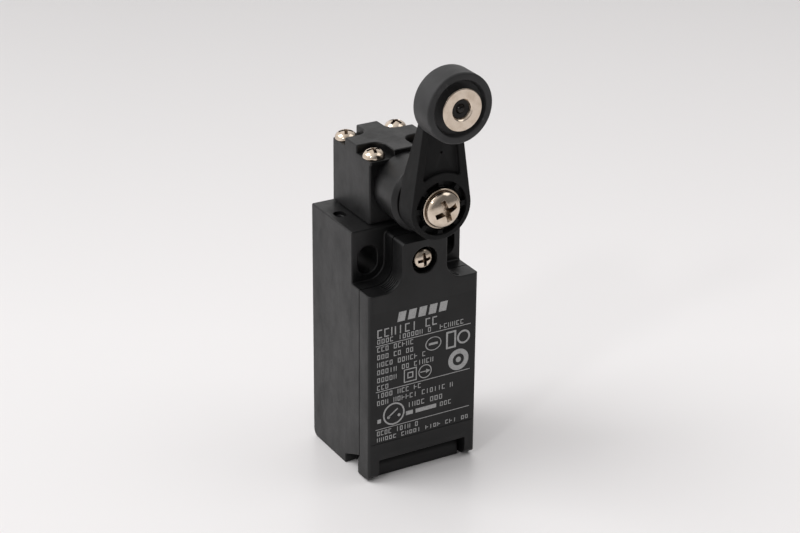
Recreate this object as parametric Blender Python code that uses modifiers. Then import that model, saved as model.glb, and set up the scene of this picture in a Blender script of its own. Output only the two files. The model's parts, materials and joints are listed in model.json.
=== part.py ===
"""Compact limit switch with a roller lever, as separate pieces that fit and move like the real ones.

Lengths are in millimetres, measured three ways: "across" from the centre plane towards +X, "forward"
from the back mounting face towards the lever (-Y), and "height" above the underside. spot() turns
them into metres in the frame, whose origin is on the mounting face between the two fixing slots.
"""

import math

import bmesh
import bpy
from mathutils import Vector

MM = 0.001
GAP = 0.3  # clearance between pieces that touch

# Body
BODY_WIDTH = 31.0
HALF_WIDTH = BODY_WIDTH / 2
RECESS_FRONT = 20.8  # the face the fixing screws bear on
SEAM = 24.5  # front of the housing, where the cover meets it
BODY_FRONT = 29.8
SHELF = 52.0  # height of the shoulders, the floor of the fixing recesses
HOUSING_TOP = 65.8
TONGUE_TOP = 64.3
TONGUE_HALF = 6.3
FILLET = 4.8
WALL = 2.6
FIXING_HEIGHT = 57.6
SLOT_ACROSS = 11.0
SLOT_WIDTH = 5.3
SLOT_LENGTH = 7.3
CONDUIT_RADIUS = 10.45
CONDUIT_FORWARD = 12.4
CHAMBER_FLOOR = 13.5
CHAMBER_TOP = 49.5
CHAMBER_BACK = 3.0
CHIMNEY_RADIUS = 5.2
NOTCH_BACK = 17.3  # the hinge notch rises forward from here
NOTCH_RISE = (2.6, 6.2)
DIMPLE_ACROSS = (-14.1, -11.1)
DIMPLE_FORWARD = (7.6, 11.3)
DIMPLE_DEPTH = 1.2

# Cover hinge
HINGE_FORWARD = 24.7
HINGE_HEIGHT = 2.4
EAR_RADIUS = 2.1
BARREL_RADIUS = 2.7
BARREL_HALF = 11.9
LEG_INNER = 12.2
LEG_FOOT = HINGE_HEIGHT - EAR_RADIUS
SLOT_TOP = 5.9
COVER_WALL = 1.8
SEAL_WALL = 1.2
COVER_SCREW_HEIGHT = 58.7
COUNTERBORE_RADIUS = 3.5
COUNTERBORE_DEPTH = 2.6
PIN_HOLE_RADIUS = 1.35
HINGE_PIN_RADIUS = 1.0

# Head
HEAD_HALF = 9.6
HEAD_FORWARD = 9.55  # centre of the head, and of the plunger under it
HEAD_BOTTOM = HOUSING_TOP + GAP
HEAD_TOP = 81.4
HEAD_FRONT = 19.1  # front of the block, where the boss starts
CAP_FRONT = 19.6
CAP_LEDGE = 82.5  # the level that the head screws seat on
CAP_TOP = 84.6
CROSS_HALF = 3.0  # half the width of the cap's raised cross
CROSS_FILLET = 2.8
HEAD_BORE = 6.6
HEAD_SEAT = 8.0
SCREW_PITCH = 7.05
SCREW_HOLE = 1.8
SCREW_SHANK = 1.5
TAPPED_SPAN = (61.5, 67)
BOSS_ROOT_RADIUS = 8.15
BOSS_RADIUS = 9.1
BOSS_ROOT = 17.0
BOSS_FRONT = 30.0
BUSH_RADIUS = 5.4
BUSH_SPAN = (18.3, 26.6)
SHAFT_SEAL_SPAN = (26.9, 28.9)
CAP_SEAL_BOTTOM = 80.7

# Shaft, lever and roller
SHAFT_HEIGHT = 75.25
SHAFT_RADIUS = 4.1
CAM_SEAT_RADIUS = 2.6
CAM_LOBE = 5.6
CAM_FLAT = 3.4
LEVER_LENGTH = 27.85
ROLLER_HEIGHT = SHAFT_HEIGHT + LEVER_LENGTH
HUB_RADIUS = 8.2
TIP_RADIUS = 4.3
HUB_BACK = 30.9
TIP_BACK = 34.3  # the arm's back slopes forward from the hub to here
SLOPE_HEIGHTS = (82.3, 96.3)
LEVER_FRONT = 37.2
PANEL_RIM = 1.5
PANEL_FLOOR_RADIUS = 9.0
SHAFT_FRONT = 36.3
WASHER_SEAT_RADIUS = 6.1
ROLLER_RADIUS = 8.75
ROLLER_BACK = 37.95
ROLLER_FRONT = 44.95
ROLLER_RECESS = 1.4
PIN_RADIUS = 2.0
RIVET_HEAD_RADIUS = 3.2
RIVET_HEAD_BACK = TIP_BACK - 1.1
DISC_RADIUS = 5.2
DISC_BACK = 45.4
DISC_FRONT = 45.8
DISH_RADIUS = 2.7

# Plunger and contact block
TRAVEL = 2.5
PLUNGER_TOP = SHAFT_HEIGHT - CAM_LOBE - 0.35
PLUNGER_FOOT = 50.5
GUIDE_BASE = 52.0
GUIDE_STEP = 56.5
GUIDE_TOP = 67.0
STEM_RADIUS = 2.0
BLOCK_HALF = 12.4
BLOCK_BACK = 3.4
BLOCK_BOTTOM = 18.2
BLOCK_TOP = 48.6
BLOCK_FRONT = 12.6
LID_FRONT = 14.4
TERMINAL_ACROSS = 7.4
NC_HEIGHT = 41.9  # underside of the normally closed bridge
NO_HEIGHT = 26.4  # underside of the normally open bridge
BRIDGE_THICK = 0.7
BUTTON = 0.6

AXIS_TURN = {
    "height": (0, 0, 0),
    "forward": (math.pi / 2, 0, 0),
    "across": (0, math.pi / 2, 0),
}

COLOURS = {
    "case_plastic": ((0.022, 0.022, 0.023), 0.45, 0.0),
    "lever_plastic": ((0.018, 0.018, 0.019), 0.5, 0.0),
    "roller_plastic": ((0.05, 0.05, 0.052), 0.55, 0.0),
    "nickel_steel": ((0.75, 0.7, 0.62), 0.25, 1.0),
    "shaft_steel": ((0.55, 0.55, 0.56), 0.3, 1.0),
    "spring_steel": ((0.45, 0.45, 0.47), 0.35, 1.0),
    "seal_rubber": ((0.03, 0.03, 0.03), 0.8, 0.0),
    "bearing_plastic": ((0.7, 0.68, 0.6), 0.5, 0.0),
    "block_plastic": ((0.55, 0.5, 0.4), 0.5, 0.0),
    "brass": ((0.8, 0.6, 0.3), 0.3, 1.0),
}


def spot(across, forward, height):
    """A place in the frame, in metres."""
    return Vector((across, -forward, height - FIXING_HEIGHT)) * MM


def along(axis, centre, station):
    """The place on an axis at one station, with centre giving its other two measures in order."""
    measures = list(centre)
    measures.insert(("across", "forward", "height").index(axis), station)
    return spot(*measures)


def clear_scene():
    for old in list(bpy.data.objects):
        bpy.data.objects.remove(old)


def new_collection(name):
    made = bpy.data.collections.new(name)
    bpy.context.scene.collection.children.link(made)
    return made


def make_material(name):
    colour, roughness, metallic = COLOURS[name]
    made = bpy.data.materials.new(name)
    made.use_nodes = True
    shader = made.node_tree.nodes["Principled BSDF"]
    shader.inputs["Base Color"].default_value = (*colour, 1)
    shader.inputs["Roughness"].default_value = roughness
    shader.inputs["Metallic"].default_value = metallic
    return made


clear_scene()
PARTS = new_collection("limit_switch")
CUTTERS = new_collection("cutters")
MATERIALS = {name: make_material(name) for name in COLOURS}


def add_object(name, data, material):
    """A piece when it has a material, and a hidden tool for cutting or joining when it has none."""
    made = bpy.data.objects.new(name, data)
    if material:
        PARTS.objects.link(made)
        data.materials.append(MATERIALS[material])
    else:
        CUTTERS.objects.link(made)
        made.hide_render = True
        made.display_type = "WIRE"
    return made


def mesh_from(shape, name):
    data = bpy.data.meshes.new(name)
    shape.to_mesh(data)
    shape.free()
    return data


def box(name, across, forward, height, material=None):
    """A box between the two values given for each measure."""
    low = spot(across[0], forward[1], height[0])
    high = spot(across[1], forward[0], height[1])
    shape = bmesh.new()
    bmesh.ops.create_cube(shape, size=1)
    bmesh.ops.scale(shape, vec=high - low, verts=shape.verts)
    made = add_object(name, mesh_from(shape, name), material)
    made.location = (low + high) / 2
    return made


def cylinder(name, axis, centre, radius, span, material=None, segments=24, end_radius=None):
    """A cylinder from span[0] to span[1] along its axis, or a cone with an end radius."""
    shape = bmesh.new()
    bmesh.ops.create_cone(
        shape,
        cap_ends=True,
        segments=segments,
        radius1=radius * MM,
        radius2=(end_radius or radius) * MM,
        depth=(span[1] - span[0]) * MM,
    )
    made = add_object(name, mesh_from(shape, name), material)
    made.location = along(axis, centre, sum(span) / 2)
    made.rotation_euler = AXIS_TURN[axis]
    made.data.shade_smooth()
    made.data.set_sharp_from_angle(angle=math.radians(40))
    return made


def turned(name, axis, centre, profile, material=None, segments=32, ring=False):
    """A profile of (radius, station) points, given up its outer side, turned about an axis."""
    base = profile[0][1]
    data = bpy.data.meshes.new(name)
    points = [(radius * MM, 0, (station - base) * MM) for radius, station in reversed(profile)]
    edges = [(i, i + 1) for i in range(len(points) - 1)]
    if ring:
        edges.append((len(points) - 1, 0))
    data.from_pydata(points, edges, [])
    made = add_object(name, data, material)
    made.location = along(axis, centre, base)
    made.rotation_euler = AXIS_TURN[axis]
    screw = made.modifiers.new("turn", "SCREW")
    screw.steps = segments
    screw.render_steps = segments
    screw.use_merge_vertices = True
    screw.merge_threshold = 0.00001
    return made


def tube(name, axis, centre, inner, outer, span, material=None, segments=24):
    low, high = span
    profile = [(inner, low), (outer, low), (outer, high), (inner, high)]
    return turned(name, axis, centre, profile, material, segments, ring=True)


def extruded(name, axis, outline, span, material=None):
    """A flat outline, drawn on the two other measures in order, carried from span[0] to span[1]."""
    curve = bpy.data.curves.new(name, "CURVE")
    curve.dimensions = "2D"
    curve.fill_mode = "BOTH"
    curve.extrude = (span[1] - span[0]) / 2 * MM
    spline = curve.splines.new("POLY")
    spline.points.add(len(outline) - 1)
    for point, (first, second) in zip(spline.points, outline):
        point.co = (first * MM, second * MM, 0, 1)
    spline.use_cyclic_u = True
    drawn = bpy.data.objects.new(name, curve)
    CUTTERS.objects.link(drawn)
    data = bpy.data.meshes.new_from_object(drawn.evaluated_get(bpy.context.evaluated_depsgraph_get()))
    bpy.data.objects.remove(drawn)

    shape = bmesh.new()
    shape.from_mesh(data)
    bmesh.ops.remove_doubles(shape, verts=shape.verts, dist=0.000001)
    middle = sum(span) / 2
    for vert in shape.verts:
        pair = (vert.co.x / MM, vert.co.y / MM)
        vert.co = along(axis, pair, middle + vert.co.z / MM)
    bmesh.ops.recalc_face_normals(shape, faces=shape.faces)
    if shape.calc_volume(signed=True) < 0:
        bmesh.ops.reverse_faces(shape, faces=shape.faces)
    shape.to_mesh(data)
    shape.free()
    return add_object(name, data, material)


def arc(centre, radius, start, end, steps):
    """Points on an arc, with the angles in degrees."""
    angles = [math.radians(start + (end - start) * step / steps) for step in range(steps + 1)]
    return [(centre[0] + radius * math.cos(a), centre[1] + radius * math.sin(a)) for a in angles]


def combine(piece, tools, operation):
    for tool in tools:
        boolean = piece.modifiers.new(tool.name, "BOOLEAN")
        boolean.object = tool
        boolean.operation = operation
        boolean.solver = "EXACT"


def cut(piece, *tools):
    combine(piece, tools, "DIFFERENCE")


def join(piece, *tools):
    combine(piece, tools, "UNION")


def soften(piece, width, segments=1):
    bevel = piece.modifiers.new("edges", "BEVEL")
    bevel.width = width * MM
    bevel.segments = segments
    bevel.limit_method = "ANGLE"
    bevel.angle_limit = math.radians(50)


def cross_recess(name, screw, size, depth, top):
    """Cuts a cross recess into a screw head whose top is at local height top, in millimetres."""
    for turn in (0, math.pi / 2):
        shape = bmesh.new()
        bmesh.ops.create_cube(shape, size=1)
        bmesh.ops.scale(shape, vec=(size * MM, size * 0.24 * MM, 2 * depth * MM), verts=shape.verts)
        bmesh.ops.translate(shape, vec=(0, 0, top * MM), verts=shape.verts)
        tool = add_object(f"{name}_recess", mesh_from(shape, name), None)
        tool.location = screw.location
        tool.rotation_euler = screw.rotation_euler
        tool.rotation_euler.rotate_axis("Z", turn)
        cut(screw, tool)


def pan_screw(name, axis, centre, seat, head, shank, slot=0.62, segments=16):
    """A pan-head screw: seat is the underside of its head, and head and shank are (radius, length)."""
    head_radius, head_length = head
    shank_radius, shank_length = shank
    profile = [
        (0, seat - shank_length),
        (shank_radius * 0.75, seat - shank_length),
        (shank_radius, seat - shank_length + 0.6),
        (shank_radius, seat),
        (head_radius, seat),
        (head_radius, seat + head_length * 0.5),
        (head_radius * 0.82, seat + head_length * 0.86),
        (head_radius * 0.45, seat + head_length),
        (0, seat + head_length),
    ]
    screw = turned(name, axis, centre, profile, "nickel_steel", segments)
    cross_recess(name, screw, head_radius * 2 * slot, head_length * 0.6, shank_length + head_length)
    return screw


def coil(name, centre, radius, wire, span, turns, steps):
    """A round-wire spring standing on a vertical axis, inside the span given for its ends."""
    low, high = span[0] + wire, span[1] - wire
    curve = bpy.data.curves.new(name, "CURVE")
    curve.dimensions = "3D"
    curve.bevel_depth = wire * MM
    curve.bevel_resolution = 1
    curve.use_fill_caps = True
    spline = curve.splines.new("POLY")
    count = turns * steps
    spline.points.add(count)
    for step, point in enumerate(spline.points):
        angle = 2 * math.pi * step / steps
        rise = low + (high - low) * step / count
        across = centre[0] + radius * math.cos(angle)
        forward = centre[1] + radius * math.sin(angle)
        point.co = (*spot(across, forward, rise), 1)
    return add_object(name, curve, "spring_steel")


# ---------------------------------------------------------------------------------------------- case


def front_outline(half, foot, top, fillet=FILLET, corner=0.9, steps=6):
    """The stepped front view shared by the housing and cover: shoulders, fillets and a tongue."""
    shelf_end = TONGUE_HALF + fillet
    right = [(half, foot), (half, SHELF)]
    right += arc((shelf_end, SHELF + fillet), fillet, 270, 180, steps)
    right += [(TONGUE_HALF, top - corner), (TONGUE_HALF - corner, top)]
    return right + [(-across, height) for across, height in reversed(right)]


def fixing_slot(side):
    straight = (SLOT_LENGTH - SLOT_WIDTH) / 2
    radius = SLOT_WIDTH / 2
    across = side * SLOT_ACROSS
    outline = arc((across, FIXING_HEIGHT + straight), radius, 0, 180, 10)
    outline += arc((across, FIXING_HEIGHT - straight), radius, 180, 360, 10)
    return extruded("slot_cut", "forward", outline, (-1, RECESS_FRONT + 1))


def hinge_notch(side):
    """The pocket in the side of the housing that the cover's ear turns in."""
    low, high = NOTCH_RISE
    outline = [(NOTCH_BACK, -1), (NOTCH_BACK, low), (SEAM + 1, high), (SEAM + 1, -1)]
    span = sorted((side * LEG_INNER, side * (HALF_WIDTH + 1)))
    return extruded("notch_cut", "across", outline, span)


def build_housing():
    side_view = [
        (0, 1.6),
        (1.6, 0),
        (SEAM, 0),
        (SEAM, SHELF),
        (RECESS_FRONT, SHELF),
        (RECESS_FRONT, HOUSING_TOP),
        (0, HOUSING_TOP),
    ]
    housing = extruded("housing", "across", side_view, (-HALF_WIDTH, HALF_WIDTH), "case_plastic")
    soften(housing, 0.4)
    tongue = extruded(
        "tongue",
        "forward",
        front_outline(HALF_WIDTH - 1.5, SHELF - 2, TONGUE_TOP),
        (RECESS_FRONT - 1, SEAM),
    )
    barrel_view = [(SEAM - 1.2, 0), (HINGE_FORWARD + BARREL_RADIUS, 0)]
    barrel_view += arc((HINGE_FORWARD, HINGE_HEIGHT), BARREL_RADIUS, 0, 90, 5)
    barrel_view += [(SEAM - 1.2, HINGE_HEIGHT + BARREL_RADIUS)]
    barrel = extruded("barrel", "across", barrel_view, (-BARREL_HALF, BARREL_HALF))
    join(housing, tongue, barrel)

    chamber_half = HALF_WIDTH - WALL
    chamber = box(
        "chamber_cut",
        (-chamber_half, chamber_half),
        (CHAMBER_BACK, SEAM + 1),
        (CHAMBER_FLOOR, CHAMBER_TOP),
    )
    head_centre = (0, HEAD_FORWARD)
    chimney = cylinder(
        "chimney_cut", "height", head_centre, CHIMNEY_RADIUS, (CHAMBER_TOP - 1, HOUSING_TOP + 1)
    )
    conduit = cylinder(
        "conduit_cut",
        "height",
        (0, CONDUIT_FORWARD),
        CONDUIT_RADIUS,
        (-1, CHAMBER_FLOOR + 1),
        segments=32,
    )
    mouth = cylinder(
        "conduit_mouth_cut",
        "height",
        (0, CONDUIT_FORWARD),
        CONDUIT_RADIUS + 1.2,
        (-0.4, 0.8),
        segments=32,
        end_radius=CONDUIT_RADIUS,
    )
    cover_screw_hole = cylinder(
        "cover_screw_cut", "forward", (0, COVER_SCREW_HEIGHT), 1.9, (17, SEAM + 1), segments=16
    )
    dimple = box(
        "dimple_cut", DIMPLE_ACROSS, DIMPLE_FORWARD, (HOUSING_TOP - DIMPLE_DEPTH, HOUSING_TOP + 1)
    )
    cut(housing, chamber, chimney, conduit, mouth, cover_screw_hole, dimple)
    for side in (-1, 1):
        cut(housing, fixing_slot(side), hinge_notch(side))
        pin_span = sorted((side * (BARREL_HALF - 1.9), side * (BARREL_HALF + 1)))
        pin_hole = cylinder(
            "pin_cut", "across", (HINGE_FORWARD, HINGE_HEIGHT), PIN_HOLE_RADIUS, pin_span, segments=12
        )
        cut(housing, pin_hole)
    for across, forward in head_screw_places():
        tapped = cylinder(
            "tapped_cut", "height", (across, forward), SCREW_HOLE, TAPPED_SPAN, segments=12
        )
        cut(housing, tapped)
    return housing


def build_cover():
    back = SEAM + GAP
    outline = front_outline(HALF_WIDTH, LEG_FOOT, TONGUE_TOP)
    cover = extruded("front_cover", "forward", outline, (back, BODY_FRONT), "case_plastic")
    soften(cover, 0.4)
    slot = box("slot_cut", (-LEG_INNER, LEG_INNER), (back - 1, BODY_FRONT + 1), (-1, SLOT_TOP))
    inner_half = HALF_WIDTH - COVER_WALL
    pocket = box(
        "pocket_cut",
        (-inner_half, inner_half),
        (back - 1, BODY_FRONT - COVER_WALL),
        (SLOT_TOP + COVER_WALL, SHELF - COVER_WALL),
    )
    screw_centre = (0, COVER_SCREW_HEIGHT)
    counterbore = cylinder(
        "counterbore_cut",
        "forward",
        screw_centre,
        COUNTERBORE_RADIUS,
        (BODY_FRONT - COUNTERBORE_DEPTH, BODY_FRONT + 1),
    )
    screw_hole = cylinder(
        "screw_hole_cut", "forward", screw_centre, SCREW_HOLE, (back - 1, BODY_FRONT), segments=16
    )
    cut(cover, slot, pocket, counterbore, screw_hole)
    for side in (-1, 1):
        hinge = (HINGE_FORWARD, HINGE_HEIGHT)
        ear_span = sorted((side * (LEG_INNER + GAP), side * HALF_WIDTH))
        pin_span = sorted((side * (BARREL_HALF - 1.6), side * (LEG_INNER + 1)))
        join(
            cover,
            cylinder("ear", "across", hinge, EAR_RADIUS, ear_span),
            cylinder("hinge_pin", "across", hinge, HINGE_PIN_RADIUS, pin_span, segments=12),
        )
    return cover


def build_cover_seal():
    """The flat rubber frame that the cover presses on the housing's rim."""
    outer_half = HALF_WIDTH - COVER_WALL - GAP
    inner_half = outer_half - SEAL_WALL
    low = SLOT_TOP + COVER_WALL + GAP
    high = SHELF - COVER_WALL - GAP
    forward = (SEAM + GAP, BODY_FRONT - COVER_WALL - GAP)
    seal = box("cover_seal", (-outer_half, outer_half), forward, (low, high), "seal_rubber")
    window = box(
        "seal_window_cut", (-inner_half, inner_half), (SEAM, BODY_FRONT), (low + SEAL_WALL, high - SEAL_WALL)
    )
    cut(seal, window)
    return seal


def build_cover_screw():
    centre = (0, COVER_SCREW_HEIGHT)
    floor = BODY_FRONT - COUNTERBORE_DEPTH
    seat = floor + 1.1
    screw = pan_screw("cover_screw", "forward", centre, seat, (2.75, 1.6), (SCREW_SHANK, 9.5))
    seal_span = (floor + GAP, seat - GAP)
    seal = tube("cover_screw_seal", "forward", centre, 1.8, 3.1, seal_span, "seal_rubber", 16)
    return [screw, seal]


# ---------------------------------------------------------------------------------------------- head


def head_screw_places():
    return [
        (side * SCREW_PITCH, HEAD_FORWARD + end * SCREW_PITCH) for end in (-1, 1) for side in (-1, 1)
    ]


def build_head_block():
    block = box(
        "head_block",
        (-HEAD_HALF, HEAD_HALF),
        (GAP, HEAD_FRONT),
        (HEAD_BOTTOM, HEAD_TOP),
        "case_plastic",
    )
    soften(block, 0.4)
    shaft_line = (0, SHAFT_HEIGHT)
    boss_profile = [
        (0, BOSS_ROOT),
        (BOSS_ROOT_RADIUS, BOSS_ROOT),
        (BOSS_RADIUS, BOSS_FRONT - 1.2),
        (BOSS_RADIUS - 1.0, BOSS_FRONT),
        (0, BOSS_FRONT),
    ]
    boss = turned("boss", "forward", shaft_line, boss_profile, segments=36)
    cap_room = box("cap_room_cut", (-10, 10), (15, CAP_FRONT + GAP), (HEAD_TOP, 90))
    join(block, boss)
    centre = (0, HEAD_FORWARD)
    bore = cylinder("head_bore_cut", "height", centre, HEAD_BORE, (60, 90))
    lower_seat = cylinder("lower_seat_cut", "height", centre, HEAD_SEAT, (60, GUIDE_TOP + GAP))
    upper_seat = cylinder("upper_seat_cut", "height", centre, HEAD_SEAT, (HEAD_TOP - 1, 90))
    bush_bore = cylinder(
        "bush_bore_cut", "forward", shaft_line, BUSH_RADIUS + GAP, (BUSH_SPAN[0] - GAP, 32)
    )
    shaft_bore = cylinder("shaft_bore_cut", "forward", shaft_line, SHAFT_RADIUS + 0.4, (14, 20))
    tail_bore = cylinder("tail_bore_cut", "forward", shaft_line, 2.5, (1.2, 6), segments=16)
    cut(block, cap_room, bore, lower_seat, upper_seat, bush_bore, shaft_bore, tail_bore)
    for across, forward in head_screw_places():
        place = (across, forward)
        cut(block, cylinder("head_hole_cut", "height", place, SCREW_HOLE, (60, 90), segments=12))
    return block


def corner_notch(side, end):
    """The plan of one corner that is cut away to leave the cap's raised cross."""
    centre = CROSS_HALF + CROSS_FILLET
    far = HEAD_HALF + 2
    quarter = [(CROSS_HALF, far), *arc((centre, centre), CROSS_FILLET, 180, 270, 6)]
    quarter += [(far, CROSS_HALF), (far, far)]
    return [(side * across, HEAD_FORWARD + end * forward) for across, forward in quarter]


def build_head_cap():
    """A square plate under the screw heads, with a raised cross between them."""
    cap = box(
        "head_cap",
        (-HEAD_HALF, HEAD_HALF),
        (GAP, CAP_FRONT),
        (HEAD_TOP + GAP, CAP_TOP),
        "case_plastic",
    )
    soften(cap, 0.4)
    centre = (0, HEAD_FORWARD)
    spigot = tube("spigot", "height", centre, 5.7, 6.3, (79.6, HEAD_TOP + 1))
    join(cap, spigot)
    for across, forward in head_screw_places():
        side = math.copysign(1, across)
        end = math.copysign(1, forward - HEAD_FORWARD)
        notch = extruded("notch_cut", "height", corner_notch(side, end), (CAP_LEDGE, 90))
        hole = cylinder(
            "cap_hole_cut", "height", (across, forward), SCREW_HOLE, (78, 90), segments=12
        )
        cut(cap, notch, hole)
    return cap


def build_head_fasteners():
    names = ("back_left", "back_right", "front_left", "front_right")
    return [
        pan_screw(
            f"head_screw_{name}", "height", place, CAP_LEDGE + GAP, (2.8, 1.9), (SCREW_SHANK, 21)
        )
        for name, place in zip(names, head_screw_places())
    ]


def build_head_seals():
    centre = (0, HEAD_FORWARD)
    lower = tube("head_seal", "height", centre, 6.9, 7.6, (HEAD_BOTTOM, GUIDE_TOP), "seal_rubber")
    upper_span = (CAP_SEAL_BOTTOM, HEAD_TOP)
    upper = tube("cap_seal", "height", centre, 6.7, 7.6, upper_span, "seal_rubber")
    shaft_line = (0, SHAFT_HEIGHT)
    shaft = tube(
        "shaft_seal", "forward", shaft_line, 4.4, BUSH_RADIUS, SHAFT_SEAL_SPAN, "seal_rubber"
    )
    return [lower, upper, shaft]


def build_shaft_bush():
    return tube(
        "shaft_bush",
        "forward",
        (0, SHAFT_HEIGHT),
        SHAFT_RADIUS + GAP,
        BUSH_RADIUS,
        BUSH_SPAN,
        "bearing_plastic",
    )


# ----------------------------------------------------------------------------------- shaft and lever


def build_shaft():
    profile = [
        (0, 1.6),
        (2.2, 1.6),
        (2.2, 4.2),
        (CAM_SEAT_RADIUS, 4.2),
        (CAM_SEAT_RADIUS, 13.5),
        (SHAFT_RADIUS, 13.5),
        (SHAFT_RADIUS, SHAFT_FRONT),
        (2.6, SHAFT_FRONT),
        (2.6, 25.5),
        (0, 24.5),
    ]
    return turned("rotary_shaft", "forward", (0, SHAFT_HEIGHT), profile, "shaft_steel", 24)


def build_cam():
    """A round cam with a flat underneath, which presses the plunger down when it turns either way."""
    reach = math.degrees(math.asin(CAM_FLAT / CAM_LOBE))
    outline = arc((0, SHAFT_HEIGHT), CAM_LOBE, -reach, 180 + reach, 24)
    cam = extruded("cam", "forward", outline, (6.95, 12.15), "bearing_plastic")
    hole = cylinder(
        "cam_hole_cut", "forward", (0, SHAFT_HEIGHT), CAM_SEAT_RADIUS + GAP, (5, 14), segments=20
    )
    cut(cam, hole)
    return cam


def lever_outline(hub, tip, steps):
    """Two circles, round the shaft and round the roller pin, joined by their outer tangents."""
    lean = math.degrees(math.asin((hub - tip) / LEVER_LENGTH))
    outline = arc((0, SHAFT_HEIGHT), hub, 180 - lean, 360 + lean, steps)
    return outline + arc((0, ROLLER_HEIGHT), tip, lean, 180 - lean, steps // 2)


def build_lever_arm():
    arm = extruded(
        "lever_arm",
        "forward",
        lever_outline(HUB_RADIUS, TIP_RADIUS, 28),
        (HUB_BACK, LEVER_FRONT),
        "lever_plastic",
    )
    low, high = SLOPE_HEIGHTS
    slope = [(HUB_BACK - 2, low), (HUB_BACK, low), (TIP_BACK, high), (TIP_BACK, ROLLER_HEIGHT + 9)]
    slope.append((HUB_BACK - 2, ROLLER_HEIGHT + 9))
    behind = extruded("slope_cut", "across", slope, (-12, 12))
    centre = (0, SHAFT_HEIGHT)
    panel = extruded("panel_cut", "forward", panel_outline(), (LEVER_FRONT - 1, LEVER_FRONT + 1))
    groove = tube("groove_cut", "forward", centre, 5.4, 6.9, (LEVER_FRONT - 1.3, LEVER_FRONT + 1))
    seat_span = (SHAFT_FRONT, LEVER_FRONT + 2)
    seat = cylinder("washer_seat_cut", "forward", centre, WASHER_SEAT_RADIUS, seat_span, segments=20)
    shaft_hole = cylinder(
        "shaft_hole_cut", "forward", centre, SHAFT_RADIUS + GAP, (HUB_BACK - 1, LEVER_FRONT)
    )
    pin_hole = cylinder(
        "pin_hole_cut", "forward", (0, ROLLER_HEIGHT), PIN_RADIUS + GAP, (30, 40), segments=16
    )
    cut(arm, behind, panel, groove, seat, shaft_hole, pin_hole)
    return arm


def panel_outline():
    """The sunk panel in the arm's front, whose lower edge follows the hub."""
    inner = lever_outline(HUB_RADIUS - PANEL_RIM, TIP_RADIUS - PANEL_RIM, 28)
    lower = arc((0, SHAFT_HEIGHT), PANEL_FLOOR_RADIUS, 125, 55, 8)
    upper = [(across, height) for across, height in inner if height > ROLLER_HEIGHT]
    return lower + upper


def build_lever_fasteners():
    centre = (0, SHAFT_HEIGHT)
    washer = tube("lever_washer", "forward", centre, 2.8, 5.1, (36.6, 37.4), "nickel_steel")
    screw = pan_screw("lever_screw", "forward", centre, 37.7, (4.65, 2.2), (2.3, 10.5), segments=22)
    return [washer, screw]


def build_roller():
    profile = [
        (PIN_RADIUS + GAP, ROLLER_BACK),
        (ROLLER_RADIUS - 0.3, ROLLER_BACK),
        (ROLLER_RADIUS, ROLLER_BACK + 0.3),
        (ROLLER_RADIUS, ROLLER_FRONT - 0.3),
        (ROLLER_RADIUS - 0.3, ROLLER_FRONT),
        (6.85, ROLLER_FRONT),
        (6.6, ROLLER_FRONT - ROLLER_RECESS),
        (PIN_RADIUS + GAP, ROLLER_FRONT - ROLLER_RECESS),
    ]
    centre = (0, ROLLER_HEIGHT)
    return turned("roller", "forward", centre, profile, "roller_plastic", 40, ring=True)


def build_roller_pin():
    """A rivet with a broad disc in front, a dished middle, and its small head behind the arm."""
    neck = ROLLER_FRONT - ROLLER_RECESS + GAP
    profile = [
        (0, RIVET_HEAD_BACK),
        (RIVET_HEAD_RADIUS - 0.5, RIVET_HEAD_BACK),
        (RIVET_HEAD_RADIUS, RIVET_HEAD_BACK + 0.4),
        (RIVET_HEAD_RADIUS, TIP_BACK - GAP),
        (PIN_RADIUS, TIP_BACK - GAP),
        (PIN_RADIUS, neck),
        (3.2, neck),
        (3.6, DISC_BACK),
        (DISC_RADIUS, DISC_BACK),
        (DISC_RADIUS, DISC_FRONT - 0.1),
        (DISC_RADIUS - 0.1, DISC_FRONT),
        (DISH_RADIUS, DISC_FRONT),
        (DISH_RADIUS - 0.8, DISC_FRONT - 1.0),
        (0.9, DISC_FRONT - 1.0),
        (0.7, DISC_FRONT - 0.5),
        (0, DISC_FRONT - 0.4),
    ]
    centre = (0, ROLLER_HEIGHT)
    pin = turned("roller_pin", "forward", centre, profile, "nickel_steel", 24)
    washer_span = (LEVER_FRONT + 0.2, ROLLER_BACK - 0.2)
    washer = tube(
        "roller_washer", "forward", centre, PIN_RADIUS + GAP, 3.9, washer_span, "nickel_steel"
    )
    return [pin, washer]


# --------------------------------------------------------------------------- plunger and contact block


def build_plunger_guide():
    profile = [
        (2.3, GUIDE_BASE),
        (CHIMNEY_RADIUS - GAP, GUIDE_BASE),
        (CHIMNEY_RADIUS - GAP, HOUSING_TOP + GAP),
        (HEAD_BORE, HOUSING_TOP + GAP),
        (HEAD_BORE, GUIDE_TOP),
        (4.0, GUIDE_TOP),
        (4.0, GUIDE_STEP),
        (2.3, GUIDE_STEP),
    ]
    centre = (0, HEAD_FORWARD)
    return turned("plunger_guide", "height", centre, profile, "bearing_plastic", 24, ring=True)


def build_plunger():
    centre = (0, HEAD_FORWARD)
    profile = [
        (0, PLUNGER_FOOT),
        (STEM_RADIUS, PLUNGER_FOOT),
        (STEM_RADIUS, PLUNGER_TOP - 1.9),
        (3.6, PLUNGER_TOP - 1.9),
        (3.6, PLUNGER_TOP - 0.4),
        (3.2, PLUNGER_TOP),
        (0, PLUNGER_TOP),
    ]
    plunger = turned("plunger", "height", centre, profile, "bearing_plastic", 20)
    spring = coil("return_spring", centre, 3.05, 0.3, (GUIDE_STEP + 0.3, PLUNGER_TOP - 2.2), 6, 9)
    seal = tube("plunger_seal", "height", centre, 2.3, 4.6, (50.9, 51.7), "seal_rubber", 20)
    return [plunger, spring, seal]


def block_screw_places():
    return [(side * 11.1, 32.5) for side in (-1, 1)]


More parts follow.
